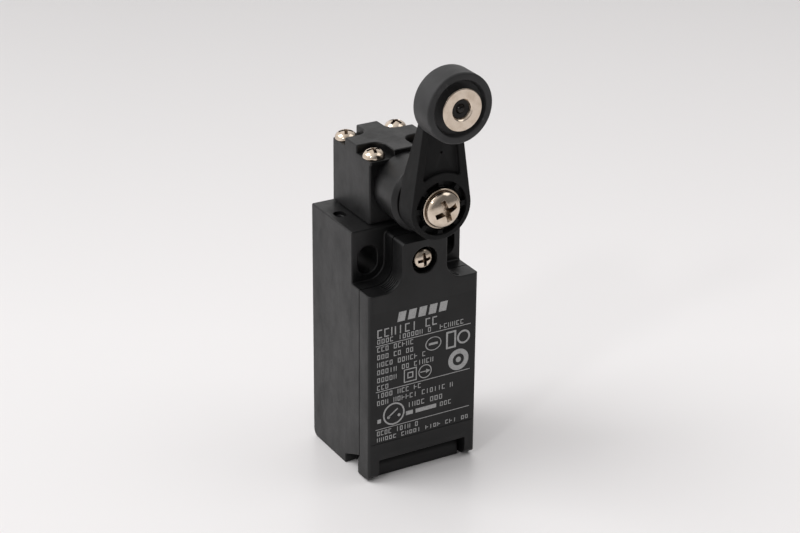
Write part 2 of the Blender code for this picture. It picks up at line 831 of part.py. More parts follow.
def terminal_places():
    """The name, side and row of each terminal: the upper row is normally closed."""
    return [
        ("upper_left", -1, True),
        ("upper_right", 1, True),
        ("lower_left", -1, False),
        ("lower_right", 1, False),
    ]


def pad_span(upper):
    """The heights of a terminal's front pad, which ends at its contact strip."""
    if upper:
        top = NC_HEIGHT + BRIDGE_THICK + 2 * BUTTON + GAP + 0.8
        return top - 8.0, top
    low = NO_HEIGHT - TRAVEL - GAP - 2 * BUTTON - 0.8
    return low, low + 8.0


def build_contact_base():
    base = box(
        "contact_base",
        (-BLOCK_HALF, BLOCK_HALF),
        (BLOCK_BACK, BLOCK_FRONT),
        (BLOCK_BOTTOM, BLOCK_TOP),
        "block_plastic",
    )
    inside = box(
        "block_inside_cut", (-9.8, 9.8), (BLOCK_BACK + 1.8, 20), (BLOCK_BOTTOM + 1.6, BLOCK_TOP - 1.6)
    )
    stem_hole = cylinder("stem_cut", "height", (0, HEAD_FORWARD), 2.4, (40, 60), segments=16)
    cut(base, inside, stem_hole)
    for across, height in block_screw_places():
        cut(base, cylinder("screw_cut", "forward", (across, height), 1.1, (2, 20), segments=10))
    return base


def build_contact_lid():
    lid = box(
        "contact_lid",
        (-BLOCK_HALF, BLOCK_HALF),
        (BLOCK_FRONT + GAP, LID_FRONT),
        (BLOCK_BOTTOM, BLOCK_TOP),
        "block_plastic",
    )
    for across, height in block_screw_places():
        cut(lid, cylinder("screw_cut", "forward", (across, height), 1.3, (2, 20), segments=10))
    for _, side, upper in terminal_places():
        low, high = pad_span(upper)
        strip = (high - 0.8, high) if upper else (low, low + 0.8)
        across = side * TERMINAL_ACROSS
        slot = box(
            "tab_slot_cut", (across - 2.2, across + 2.2), (10, 16), (strip[0] - GAP, strip[1] + GAP)
        )
        shank = cylinder(
            "shank_cut", "forward", (across, (low + high) / 2), 2.0, (13.2, 16), segments=12
        )
        cut(lid, slot, shank)
    return lid


def build_terminal(name, side, upper):
    """A fixed contact: a pad in front, a strip back into the block and a button facing the bridge."""
    across = side * TERMINAL_ACROSS
    low, high = pad_span(upper)
    middle = (low + high) / 2
    pad_forward = (LID_FRONT + GAP, LID_FRONT + GAP + 0.9)
    terminal = box(f"terminal_{name}", (across - 3.1, across + 3.1), pad_forward, (low, high), "brass")
    strip_span = (high - 0.8, high) if upper else (low, low + 0.8)
    strip = box("strip", (across - 1.9, across + 1.9), (7.9, pad_forward[0] + 0.4), strip_span)
    button_span = (high - 0.8 - BUTTON, high - 0.5) if upper else (low + 0.5, low + 0.8 + BUTTON)
    button = cylinder("button", "height", (across, HEAD_FORWARD), 1.3, button_span, segments=12)
    join(terminal, strip, button)
    thread = cylinder("thread_cut", "forward", (across, middle), 1.9, (13, 20), segments=12)
    cut(terminal, thread)

    washer_forward = (pad_forward[1] + GAP, pad_forward[1] + GAP + 0.8)
    washer = box(
        f"clamp_washer_{name}",
        (across - 3.0, across + 3.0),
        washer_forward,
        (middle - 3.0, middle + 3.0),
        "nickel_steel",
    )
    hole = cylinder("washer_cut", "forward", (across, middle), 1.9, (10, 20), segments=12)
    cut(washer, hole)
    seat = washer_forward[1] + GAP
    screw = pan_screw(
        f"terminal_screw_{name}",
        "forward",
        (across, middle),
        seat,
        (2.8, 1.7),
        (1.6, seat - 13.5),
        segments=14,
    )
    return [terminal, washer, screw]


def build_slider():
    """The carrier that the plunger pushes down, with a window for each moving bridge."""
    forward = (HEAD_FORWARD - 2.3, HEAD_FORWARD + 2.3)
    slider = box("contact_slider", (-3.0, 3.0), forward, (24.5, 46.4), "bearing_plastic")
    stem = cylinder(
        "stem", "height", (0, HEAD_FORWARD), STEM_RADIUS, (45, PLUNGER_FOOT - GAP), segments=16
    )
    join(slider, stem)
    for low, high in (window_span(True), window_span(False)):
        cut(slider, box("window_cut", (-1.7, 1.7), (0, 20), (low, high)))
        cut(slider, box("passage_cut", (-9, 9), (HEAD_FORWARD - 1.7, HEAD_FORWARD + 1.7), (low, high)))
    return slider


def window_span(upper):
    if upper:
        return NC_HEIGHT - 4.2, NC_HEIGHT + BRIDGE_THICK + GAP
    return NO_HEIGHT - GAP, NO_HEIGHT + BRIDGE_THICK + 4.2


def build_bridge(name, upper):
    low = NC_HEIGHT if upper else NO_HEIGHT
    high = low + BRIDGE_THICK
    forward = (HEAD_FORWARD - 1.4, HEAD_FORWARD + 1.4)
    bridge = box(f"{name}_bridge", (-8.9, 8.9), forward, (low, high), "brass")
    button_span = (high - 0.3, high + BUTTON) if upper else (low - BUTTON, low + 0.3)
    for side in (-1, 1):
        centre = (side * TERMINAL_ACROSS, HEAD_FORWARD)
        join(bridge, cylinder("button", "height", centre, 1.25, button_span, segments=12))
    window = window_span(upper)
    spring_span = (window[0] + GAP, low - GAP) if upper else (high + GAP, window[1] - GAP)
    spring = coil(f"{name}_bridge_spring", (0, HEAD_FORWARD), 1.0, 0.2, spring_span, 3, 8)
    return [bridge, spring]


def build_block_screws():
    return [
        pan_screw(f"block_screw_{name}", "forward", place, LID_FRONT + GAP, (1.8, 1.1), (0.9, 8), 0.6, 14)
        for name, place in zip(("left", "right"), block_screw_places())
    ]


def build_contact_block():
    slider = build_slider()
    moving = [slider, *build_bridge("upper", True), *build_bridge("lower", False)]
    fixed = [build_contact_base(), build_contact_lid(), *build_block_screws()]
    for name, side, upper in terminal_places():
        fixed += build_terminal(name, side, upper)
    fixed.append(
        coil("slider_spring", (0, HEAD_FORWARD), 1.8, 0.25, (BLOCK_BOTTOM + 1.9, 24.2), 3, 9)
    )
    return fixed, moving


# ------------------------------------------------------------------------------------------ assembly


def add_axis(name, place, parent=None):
    """An empty on a joint's axis, which the pieces that move with the joint hang from."""
    axis = bpy.data.objects.new(name, None)
    axis.empty_display_size = 5 * MM
    PARTS.objects.link(axis)
    axis.location = place
    if parent:
        hang([axis], parent)
    return axis


def hang(pieces, parent):
    """Parents the pieces without moving them: no empty here is turned, so places just subtract."""
    offset = parent.location.copy()
    if parent.parent:
        offset += parent.parent.location
    for piece in pieces:
        piece.parent = parent
        piece.location -= offset


def main():
    fixed_block, moving_block = build_contact_block()
    case = [build_housing(), build_head_block(), build_head_cap(), build_shaft_bush()]
    case += [*build_head_fasteners(), *build_head_seals(), build_plunger_guide(), *fixed_block]
    plunger, return_spring, plunger_seal = build_plunger()
    case += [return_spring, plunger_seal]

    root = add_axis("switch_origin", spot(0, 0, FIXING_HEIGHT))
    hang(case, root)
    cover_axis = add_axis("cover_hinge_axis", spot(0, HINGE_FORWARD, HINGE_HEIGHT), root)
    hang([build_cover(), build_cover_seal(), *build_cover_screw()], cover_axis)
    plunger_axis = add_axis("plunger_axis", spot(0, HEAD_FORWARD, PLUNGER_FOOT), root)
    hang([plunger], plunger_axis)
    hang(moving_block, plunger_axis)
    lever_axis = add_axis("lever_axis", spot(0, HUB_BACK, SHAFT_HEIGHT), root)
    hang([build_shaft(), build_cam(), build_lever_arm()], lever_axis)
    hang([*build_lever_fasteners(), *build_roller_pin()], lever_axis)
    roller_axis = add_axis("roller_axis", spot(0, ROLLER_BACK, ROLLER_HEIGHT), lever_axis)
    hang([build_roller()], roller_axis)


main()
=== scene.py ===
"""The looks of the limit switch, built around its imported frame.

Shapes are modelled in millimetres, measured three ways as in the design: "across" from the centre plane
towards +X, "forward" from the mounting face towards the lever (-Y), and "height" above the underside.
finish_piece() turns a finished shape into metres in the frame and hangs it on its body.
"""

import json
import math
import random
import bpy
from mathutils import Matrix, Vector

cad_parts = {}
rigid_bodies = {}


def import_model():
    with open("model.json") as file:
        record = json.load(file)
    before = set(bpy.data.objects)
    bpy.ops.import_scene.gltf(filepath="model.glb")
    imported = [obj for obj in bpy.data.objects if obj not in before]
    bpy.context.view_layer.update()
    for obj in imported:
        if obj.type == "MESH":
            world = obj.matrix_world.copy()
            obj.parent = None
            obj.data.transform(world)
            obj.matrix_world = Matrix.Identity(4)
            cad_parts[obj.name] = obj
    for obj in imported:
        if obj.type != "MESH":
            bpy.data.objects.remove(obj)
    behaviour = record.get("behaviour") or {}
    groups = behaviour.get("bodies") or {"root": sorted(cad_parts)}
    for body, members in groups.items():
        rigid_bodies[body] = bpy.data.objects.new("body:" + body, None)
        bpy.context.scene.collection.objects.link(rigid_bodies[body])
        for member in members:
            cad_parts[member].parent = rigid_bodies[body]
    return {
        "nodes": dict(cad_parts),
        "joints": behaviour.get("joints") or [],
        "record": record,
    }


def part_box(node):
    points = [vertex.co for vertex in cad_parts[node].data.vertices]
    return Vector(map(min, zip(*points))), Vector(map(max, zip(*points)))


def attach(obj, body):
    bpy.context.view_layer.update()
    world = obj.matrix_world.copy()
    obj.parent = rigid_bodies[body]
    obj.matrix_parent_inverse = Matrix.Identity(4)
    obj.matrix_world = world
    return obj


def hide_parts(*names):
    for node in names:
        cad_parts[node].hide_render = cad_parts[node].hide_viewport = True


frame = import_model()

from types import SimpleNamespace

import bmesh
import bpy
from mathutils import Matrix, Vector

MM = 0.001
JOINTS = {joint["name"]: joint for joint in frame["joints"]}
SLOT_OF_NODE = {part["node"]: part["material_slot"] for part in frame["record"]["subparts"]}
BODY_OF_NODE = {
    node: body
    for body, nodes in frame["record"]["behaviour"]["bodies"].items()
    for node in nodes
}
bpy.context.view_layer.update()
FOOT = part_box("housing")[0].z / MM  # where the underside lies on the frame's own vertical axis


def reach(node):
    """How far a CAD node reaches along each measure, in millimetres."""
    low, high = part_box(node)
    return SimpleNamespace(
        left=low.x / MM,
        right=high.x / MM,
        back=-high.y / MM,
        front=-low.y / MM,
        bottom=low.z / MM - FOOT,
        top=high.z / MM - FOOT,
    )


def front_centre(node):
    """A CAD node's centre in the front view, as (across, height)."""
    seen = reach(node)
    return (seen.left + seen.right) / 2, (seen.bottom + seen.top) / 2


def pivot(joint):
    """A joint's place as (across, forward, height)."""
    across, y, z = [value / MM for value in JOINTS[joint]["pos_m"]]
    return across, -y, z - FOOT


HOUSING = reach("housing")
COVER = reach("front_cover")
HEAD = reach("head_block")
CAP = reach("head_cap")
ARM = reach("lever_arm")
ROLLER = reach("roller")
PIN = reach("roller_pin")

GAP = 0.3
HALF_WIDTH = HOUSING.right
SEAM = reach("cover_seal").back - GAP
RECESS_FRONT = 20.8  # the shoulders that the fixing screws bear on
SHELF = 52.0
SEAM_LOW = 6.3  # below this the cover's legs and the hinge barrel take over from the seam
TRIM = 1.0  # how much is trimmed off at a seam, to leave its edges crisp
TONGUE_HALF = 6.3
FILLET = 4.8
FIXING_HEIGHT = -FOOT
SLOT_ACROSS = 11.0
SLOT_WIDTH = 5.3
SLOT_LENGTH = 7.3
HINGE_FORWARD, HINGE_HEIGHT = pivot("cover_hinge")[1:]
LEG_INNER = 12.2
COVER_SCREW = (0, (reach("cover_screw").bottom + reach("cover_screw").top) / 2)
LABEL_LOW, LABEL_HIGH, LABEL_SINK = 10.7, 47.3, 0.12
COVER_WALL = 1.8  # at the cover's sides and top, as its front is solid down to POCKET_FLOOR
COUNTERBORE_DEPTH = 2.6
PAST_SIDES = (-16, 16)  # wider than the body, for cutters that cross all of it
SCREW_HOLE = 1.8
HEAD_CENTRE = (0, (reach("plunger").back + reach("plunger").front) / 2)
CONDUIT_CENTRE, CONDUIT_RADIUS = (0, 12.4), 10.45
SHAFT_HEIGHT = pivot("lever_turn")[2]
ROLLER_HEIGHT = pivot("roller_spin")[2]
SHAFT_LINE = (0, SHAFT_HEIGHT)
ROLLER_LINE = (0, ROLLER_HEIGHT)
HUB_RADIUS, TIP_RADIUS = 8.2, 4.3
BOSS_RADIUS = 9.1
BOSS_ROOT_RADIUS = 8.15
HEAD_FRONT = 19.1
HEAD_SEAM = 81.6
CAP_LEDGE = 82.5
CROSS_HALF, CROSS_FILLET = 3.0, 2.8
RIVET_HEAD = 1.1
ARM_TIP_BACK = PIN.back + RIVET_HEAD
ARM_SLOPE = (82.3, 96.3)  # the heights between which the arm's back leans forward
COVER_FACE = COVER.front
POCKET_FLOOR = HINGE_FORWARD + HINGE_HEIGHT - 0.05  # so the open cover's hollow ends above the underside

WORKSHOP = bpy.data.collections.new("workshop")
bpy.context.scene.collection.children.link(WORKSHOP)


# ---- shapes


def place(axis, first, second, station):
    """A point from its station along an axis and its other two measures, in order."""
    across, forward, height = {
        "across": (station, first, second),
        "forward": (first, station, second),
        "height": (first, second, station),
    }[axis]
    return Vector((across, -forward, height))


def shape_object(name, shape):
    bmesh.ops.recalc_face_normals(shape, faces=shape.faces)
    data = bpy.data.meshes.new(name)
    shape.to_mesh(data)
    shape.free()
    made = bpy.data.objects.new(name, data)
    WORKSHOP.objects.link(made)
    return made


def arc(centre, radius, start, end, steps=8):
    """Points on an arc, with the angles in degrees."""
    angles = [math.radians(start + (end - start) * step / steps) for step in range(steps + 1)]
    return [(centre[0] + radius * math.cos(a), centre[1] + radius * math.sin(a)) for a in angles]


def rounded(corners, steps=4):
    """A closed outline or section whose corners are rounded where a third number gives a radius."""
    path = []
    for index, corner in enumerate(corners):
        here = Vector(corner[:2])
        if len(corner) == 2:
            path.append(tuple(here))
            continue
        before = (Vector(corners[index - 1][:2]) - here).normalized()
        after = (Vector(corners[(index + 1) % len(corners)][:2]) - here).normalized()
        half = before.angle(after) / 2
        tangent = corner[2] / math.tan(half)
        centre = here + (before + after).normalized() * corner[2] / math.sin(half)
        start = here + before * tangent - centre
        end = here + after * tangent - centre
        first = math.degrees(math.atan2(start.y, start.x))
        sweep = (math.degrees(math.atan2(end.y, end.x)) - first + 180) % 360 - 180
        path += arc(centre, corner[2], first, first + sweep, steps)
    return path


def rounded_rectangle(left, right, low, high, radius, steps=4):
    corners = [(left, low), (right, low), (right, high), (left, high)]
    return rounded([(*corner, radius) for corner in corners], steps)


def add_prism(shape, axis, outline, span):
    """Adds a flat outline, drawn on the two other measures in order, carried along its axis."""
    near = [shape.verts.new(place(axis, *point, span[0])) for point in outline]
    far = [shape.verts.new(place(axis, *point, span[1])) for point in outline]
    shape.faces.new(near)
    shape.faces.new(far)
    for index in range(len(outline)):
        after = (index + 1) % len(outline)
        shape.faces.new((near[index], near[after], far[after], far[index]))


def slab(name, axis, outline, span):
    shape = bmesh.new()
    add_prism(shape, axis, outline, span)
    return shape_object(name, shape)


def box(name, across, forward, height):
    outline = [(across[0], forward[0]), (across[1], forward[0])]
    outline += [(across[1], forward[1]), (across[0], forward[1])]
    return slab(name, "height", outline, height)


def turned(name, axis, centre, section, segments=64):
    """A section of (radius, station) points turned about an axis: closed, or ending on the axis."""
    shape = bmesh.new()
    rings = []
    for radius, station in section:
        count = segments if radius > 0 else 1
        spokes = [2 * math.pi * step / count for step in range(count)]
        rings.append([
            shape.verts.new(
                place(
                    axis,
                    centre[0] + radius * math.cos(spoke),
                    centre[1] + radius * math.sin(spoke),
                    station,
                )
            )
            for spoke in spokes
        ])
    pairs = list(zip(rings, rings[1:]))
    if section[0][0] > 0:
        pairs.append((rings[-1], rings[0]))
    for low, high in pairs:
        for step in range(segments):
            after = step + 1
            corners = [low[step % len(low)], low[after % len(low)]]
            corners += [high[after % len(high)], high[step % len(high)]]
            shape.faces.new(list(dict.fromkeys(corners)))
    return shape_object(name, shape)


def rod(name, axis, centre, radius, span, segments=64):
    section = [(0, span[0]), (radius, span[0]), (radius, span[1]), (0, span[1])]
    return turned(name, axis, centre, section, segments)


def tube(name, axis, centre, inner, outer, span, edge=0.1, segments=64):
    section = rounded_rectangle(inner, outer, span[0], span[1], edge, 3)
    return turned(name, axis, centre, section, segments)


def combine(piece, tools, operation):
    for tool in tools:
        boolean = piece.modifiers.new(tool.name, "BOOLEAN")
        boolean.object = tool
        boolean.operation = operation
        boolean.solver = "EXACT"
    return piece


def cut(piece, *tools):
    return combine(piece, tools, "DIFFERENCE")


def join(piece, *tools):
    return combine(piece, tools, "UNION")


def keep_common(piece, *tools):
    return combine(piece, tools, "INTERSECT")


def ease(piece, width, segments=3, angle=32):
    """Rounds the edges that are sharper than the angle."""
    bevel = piece.modifiers.new("edges", "BEVEL")
    bevel.width = width
    bevel.segments = segments
    bevel.limit_method = "ANGLE"
    bevel.angle_limit = math.radians(angle)
    bevel.use_clamp_overlap = False
    bevel.miter_outer = "MITER_ARC"
    return piece


def evaluated_mesh(work):
    graph = bpy.context.evaluated_depsgraph_get()
    return bpy.data.meshes.new_from_object(work.evaluated_get(graph), depsgraph=graph)


def finish_piece(work, name, body, slot, material=None, replaces=(), smooth=32):
    """Makes the finished piece in metres and hangs it on its body."""
    data = evaluated_mesh(work)
    data.name = name
    data.transform(Matrix.Scale(MM, 4) @ Matrix.Translation((0, 0, FOOT)))
    made = bpy.data.objects.new(name, data)
    bpy.context.scene.collection.objects.link(made)
    data.materials.clear()
    data.materials.append(material or MATERIALS[slot])
    data.shade_smooth()
    data.set_sharp_from_angle(angle=math.radians(smooth))
    normals = made.modifiers.new("normals", "WEIGHTED_NORMAL")
    normals.keep_sharp = True
    normals.weight = 100
    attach(made, body)
    if replaces:
        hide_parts(*replaces)
    return made


def stand_for(work, node, name, smooth=32):
    """Finishes a piece that takes the place of one CAD node, with its body and material slot."""
    return finish_piece(work, name, BODY_OF_NODE[node], SLOT_OF_NODE[node], replaces=(node,), smooth=smooth)


# ---- materials


def new_material(name, colour, roughness, metallic=0.0, specular=0.5):
    made = bpy.data.materials.new(name)
    made.use_nodes = True
    tree = made.node_tree
    shader = tree.nodes["Principled BSDF"]
    shader.inputs["Base Color"].default_value = (*colour, 1)
    shader.inputs["Roughness"].default_value = roughness
    shader.inputs["Metallic"].default_value = metallic
    shader.inputs["Specular IOR Level"].default_value = specular
    return made, tree, shader


def noise(tree, scale, detail=3.0, roughness=0.55, stretch=(1, 1, 1), seed=0.0):
    """A noise pattern fixed to the object, with its scale in features per metre."""
    where = tree.nodes.new("ShaderNodeTexCoord")
    mapping = tree.nodes.new("ShaderNodeMapping")
    mapping.inputs["Scale"].default_value = stretch
    mapping.inputs["Location"].default_value = (seed, seed * 0.7, seed * 1.3)
    pattern = tree.nodes.new("ShaderNodeTexNoise")
    pattern.inputs["Scale"].default_value = scale
    pattern.inputs["Detail"].default_value = detail
    pattern.inputs["Roughness"].default_value = roughness
    tree.links.new(where.outputs["Object"], mapping.inputs["Vector"])
    tree.links.new(mapping.outputs["Vector"], pattern.inputs["Vector"])
    return pattern.outputs["Fac"]


def spread(tree, source, low, high, start=0.3, end=0.7):
    """Maps the middle of a pattern's range onto low to high."""
    ranged = tree.nodes.new("ShaderNodeMapRange")
    ranged.inputs["From Min"].default_value = start
    ranged.inputs["From Max"].default_value = end
    ranged.inputs["To Min"].default_value = low
    ranged.inputs["To Max"].default_value = high
    tree.links.new(source, ranged.inputs["Value"])
    return ranged.outputs["Result"]


def calculated(tree, operation, *values):
    """The result of a math node whose inputs are each a number or an output."""
    node = tree.nodes.new("ShaderNodeMath")
    node.operation = operation
    for socket, value in zip(node.inputs, values):
        if isinstance(value, float):
            socket.default_value = value
        else:
            tree.links.new(value, socket)
    return node.outputs[0]


def mixed(tree, share, first, second):
    """Mixes two colours, or a colour output with a colour, by a share."""
    mix = tree.nodes.new("ShaderNodeMix")
    mix.data_type = "RGBA"
    sockets = [socket for socket in mix.inputs if socket.type == "RGBA"]
    for socket, value in zip(sockets, (first, second)):
        if isinstance(value, tuple):
            socket.default_value = (*value, 1)
        else:
            tree.links.new(value, socket)
    tree.links.new(share, mix.inputs["Factor"])
    return next(socket for socket in mix.outputs if socket.type == "RGBA")


def add_bump(tree, shader, layers):
    """Chains bumps of (pattern, strength, distance in metres) into the shader's normal."""
    previous = None
    for pattern, strength, distance in layers:
        bump = tree.nodes.new("ShaderNodeBump")
        bump.inputs["Strength"].default_value = strength
        bump.inputs["Distance"].default_value = distance
        tree.links.new(pattern, bump.inputs["Height"])
        if previous:
            tree.links.new(previous, bump.inputs["Normal"])
        previous = bump.outputs["Normal"]
    tree.links.new(previous, shader.inputs["Normal"])


def edge_highlight_mask(tree, low=0.53, high=0.6):
    """A mask that is 1 along outer edges, where a painted highlight lightens the moulding."""
    geometry = tree.nodes.new("ShaderNodeNewGeometry")
    return spread(tree, geometry.outputs["Pointiness"], 0.0, 1.0, low, high)


def moulded_plastic(name, dark, light, roughness, specular=0.35, grain=0.00001, swell=0.00006):
    """Moulded plastic: faint cloudy tone, a painted highlight along its outer edges, handling marks in its
    gloss, a fine grain and a slow swell.
    """
    made, tree, shader = new_material(name, dark, roughness[0], specular=specular)
    cloud = spread(tree, noise(tree, 90, 4), 0.0, 1.0)
    scuffs = spread(tree, noise(tree, 700, 6, 0.7, (1, 1, 0.4), 3.1), 0.0, 1.0, 0.45, 0.8)
    tone = mixed(tree, cloud, dark, light)
    # painted highlight: outer edges are lightened towards a brighter copy of the light tone
    edge_highlight_colour = tuple(value * 2.2 + 0.004 for value in light)
    edge_highlight_share = calculated(tree, "MULTIPLY", edge_highlight_mask(tree), 0.35)
    tree.links.new(mixed(tree, edge_highlight_share, tone, edge_highlight_colour), shader.inputs["Base Color"])
    patches = noise(tree, 160, 5, 0.6, (1, 1, 0.5), 7.7)
    gloss = calculated(tree, "MULTIPLY_ADD", scuffs, 0.08, spread(tree, patches, *roughness))
    tree.links.new(gloss, shader.inputs["Roughness"])
    add_bump(
        tree,
        shader,
        [
            (noise(tree, 110, 3, 0.5, seed=1.3), 0.5, swell),
            (noise(tree, 950, 3, 0.6, seed=9.1), 0.5, grain),
            (noise(tree, 5200, 2, 0.6, seed=5.2), 0.6, grain),
        ],
    )
    return made


def plated_metal(name, colour, tint, roughness, brushing=(1, 1, 1)):
    """Plated or turned metal with tarnish in its tone, painted shade in its hollows and fine machining marks.
    """
    made, tree, shader = new_material(name, colour, roughness[0], metallic=1.0)
    tarnish = spread(tree, noise(tree, 420, 5, 0.6), 0.0, 1.0, 0.42, 0.75)
    # painted shade: the colour turns dark brown where ambient occlusion finds hollows, such as cross recesses
    # and dished ends
    hollow = tree.nodes.new("ShaderNodeAmbientOcclusion")
    hollow.inputs["Distance"].default_value = 0.0014
    openness = spread(tree, hollow.outputs["AO"], 0.0, 1.0, 0.42, 0.92)
    painted_hollow_shade = tuple(value * share for value, share in zip(tint, (0.2, 0.16, 0.12)))
    plated = mixed(tree, tarnish, colour, tint)
    tree.links.new(mixed(tree, openness, painted_hollow_shade, plated), shader.inputs["Base Color"])
    marks = noise(tree, 1500, 4, 0.65, brushing, 2.4)
    tree.links.new(spread(tree, marks, *roughness), shader.inputs["Roughness"])
    add_bump(tree, shader, [(noise(tree, 2600, 3, 0.6, brushing, 4.1), 0.25, 0.000004)])
    return made


def soft_rubber(name, dark, light):
    made, tree, shader = new_material(name, dark, 0.75, specular=0.3)
    dust = spread(tree, noise(tree, 300, 5, 0.65), 0.0, 1.0, 0.4, 0.75)
    tree.links.new(mixed(tree, dust, dark, light), shader.inputs["Base Color"])
    tree.links.new(spread(tree, noise(tree, 900, 4), 0.62, 0.85), shader.inputs["Roughness"])
    add_bump(tree, shader, [(noise(tree, 3000, 3), 0.5, 0.00001)])
    return made


def printed_ink():
    """Pad-printed ink that is a little thin in places."""
    made, tree, shader = new_material("printed_ink", (0.4, 0.4, 0.4), 0.6, specular=0.3)
    thin = spread(tree, noise(tree, 2400, 4, 0.7), 0.0, 1.0, 0.5, 0.8)
    tree.links.new(mixed(tree, thin, (0.42, 0.42, 0.42), (0.16, 0.16, 0.16)), shader.inputs["Base Color"])
    tree.links.new(spread(tree, noise(tree, 1200, 3), 0.5, 0.7), shader.inputs["Roughness"])
    return made


MATERIALS = {
    "case_plastic": moulded_plastic(
        "case_plastic", (0.0028, 0.0028, 0.003), (0.0055, 0.0055, 0.0058), (0.3, 0.5), 0.33, 0.00003
    ),
    "lever_plastic": moulded_plastic(
        "lever_plastic", (0.0026, 0.0026, 0.0027), (0.0046, 0.0046, 0.0048), (0.5, 0.64), 0.19
    ),
    "roller_plastic": moulded_plastic(
        "roller_plastic", (0.026, 0.026, 0.0265), (0.044, 0.044, 0.045), (0.42, 0.6), 0.24, 0.00002
    ),
    "nickel_steel": plated_metal("nickel_steel", (0.70, 0.60, 0.50), (0.52, 0.42, 0.32), (0.13, 0.24)),
    "shaft_steel": plated_metal("shaft_steel", (0.56, 0.55, 0.53), (0.4, 0.39, 0.37), (0.25, 0.38)),
    "spring_steel": plated_metal("spring_steel", (0.48, 0.47, 0.46), (0.3, 0.29, 0.28), (0.25, 0.4)),
    "seal_rubber": soft_rubber("seal_rubber", (0.012, 0.012, 0.012), (0.03, 0.03, 0.03)),
    "bearing_plastic": moulded_plastic(
        "bearing_plastic", (0.55, 0.53, 0.47), (0.66, 0.64, 0.58), (0.38, 0.5), specular=0.45
    ),
    "block_plastic": moulded_plastic(
        "block_plastic", (0.34, 0.29, 0.2), (0.42, 0.36, 0.26), (0.4, 0.52), specular=0.45
    ),
    "brass": plated_metal("brass", (0.74, 0.55, 0.26), (0.5, 0.33, 0.15), (0.2, 0.34)),
}
INK = printed_ink()
BLACKED = plated_metal("blacked_steel", (0.035, 0.034, 0.033), (0.02, 0.02, 0.02), (0.16, 0.3))


# ---- case


def front_outline(half, foot, top):
    """The stepped front view shared by the housing and cover: shoulders, fillets and a tongue."""
    shelf_end = TONGUE_HALF + FILLET
    right = [(half, foot), (half, SHELF)]
    right += arc((shelf_end, SHELF + FILLET), FILLET, 270, 180, 14)
    right += rounded([(TONGUE_HALF, SHELF + FILLET), (TONGUE_HALF, top, 1.0), (0, top)], 4)[1:-1]
    return right + [(-across, height) for across, height in reversed(right)]


def fixing_slot(side):
    straight = (SLOT_LENGTH - SLOT_WIDTH) / 2
    across = side * SLOT_ACROSS
    outline = arc((across, FIXING_HEIGHT + straight), SLOT_WIDTH / 2, 0, 180, 20)
    outline += arc((across, FIXING_HEIGHT - straight), SLOT_WIDTH / 2, 180, 360, 20)
    return slab("slot_cut", "forward", outline, (-1, RECESS_FRONT + 1))


def head_screw_places():
    """The name and place of each head screw, read from its CAD node."""
    places = {}
    for name in ("back_left", "back_right", "front_left", "front_right"):
        node = reach(f"head_screw_{name}")
        places[name] = ((node.left + node.right) / 2, (node.back + node.front) / 2)
    return places


def build_housing():
    side_view = rounded([
        (0, 0, 1.9),
        (SEAM, 0),
        (SEAM, SEAM_LOW),
        (SEAM + TRIM, SEAM_LOW),
        (SEAM + TRIM, SHELF),
        (RECESS_FRONT, SHELF),
        (RECESS_FRONT, HOUSING.top),
        (0, HOUSING.top),
    ])
    shell = slab("housing", "across", side_view, (-HALF_WIDTH, HALF_WIDTH))
    tongue_view = front_outline(HALF_WIDTH - 1.5, SHELF - 2, COVER.top)
    tongue = slab("tongue", "forward", tongue_view, (RECESS_FRONT - 1, SEAM + TRIM))
    barrel_radius = HOUSING.front - HINGE_FORWARD
    lip = [(SEAM - 1.2, 0), (HOUSING.front, 0)]
    lip += arc((HINGE_FORWARD, HINGE_HEIGHT), barrel_radius, 0, 90, 12)
    lip += [(SEAM - 1.2, HINGE_HEIGHT + barrel_radius)]
    barrel = slab("barrel", "across", lip, (-LEG_INNER + GAP, LEG_INNER - GAP))
    join(shell, tongue, barrel)

    chamber = box("chamber", (2.6 - HALF_WIDTH, HALF_WIDTH - 2.6), (3.0, SEAM + 1), (13.5, 49.5))
    chimney = rod("chimney", "height", HEAD_CENTRE, 5.2, (48.5, HOUSING.top + 1))
    conduit = rod("conduit", "height", CONDUIT_CENTRE, CONDUIT_RADIUS, (-1, 14.5), 96)
    mouth_section = [(0, -0.4), (CONDUIT_RADIUS + 1.2, -0.4), (CONDUIT_RADIUS, 0.8), (0, 0.8)]
    mouth = turned("mouth", "height", CONDUIT_CENTRE, mouth_section, 96)
    screw_hole = rod("screw_hole", "forward", COVER_SCREW, 1.6, (17, SEAM + 1), 32)
    cut(shell, chamber, chimney, conduit, mouth, screw_hole)
    for side in (-1, 1):
        notch = [(17.3, -1), (17.3, 2.6), (SEAM + 1, 6.2), (SEAM + 1, -1)]
        notch_span = sorted((side * LEG_INNER, side * (HALF_WIDTH + 1)))
        cut(shell, fixing_slot(side), slab("notch", "across", notch, notch_span))
    for centre in head_screw_places().values():
        cut(shell, rod("tapped", "height", centre, 1.6, (61.5, 67), 24))
    ease(shell, 0.32)
    cut(shell, box("trim", PAST_SIDES, (SEAM, SEAM + 2 * TRIM), (SEAM_LOW - 0.2, 70)))
    land = box("land", (-5.6, 5.6), (SEAM - 0.5, SEAM + GAP - 0.03), (50.2, COVER.top - 0.8))
    join(shell, cut(land, rod("land_hole", "forward", COVER_SCREW, 1.7, (17, SEAM + 1), 32)))
    dimple_plan = rounded_rectangle(-14.1, -11.1, 7.6, 11.3, 1.4)
    dimple = slab("dimple", "height", dimple_plan, (HOUSING.top - 1.2, HOUSING.top + 1))
    ease(dimple, 0.4)
    cut(shell, dimple)
    stand_for(shell, "housing", "housing_shell")


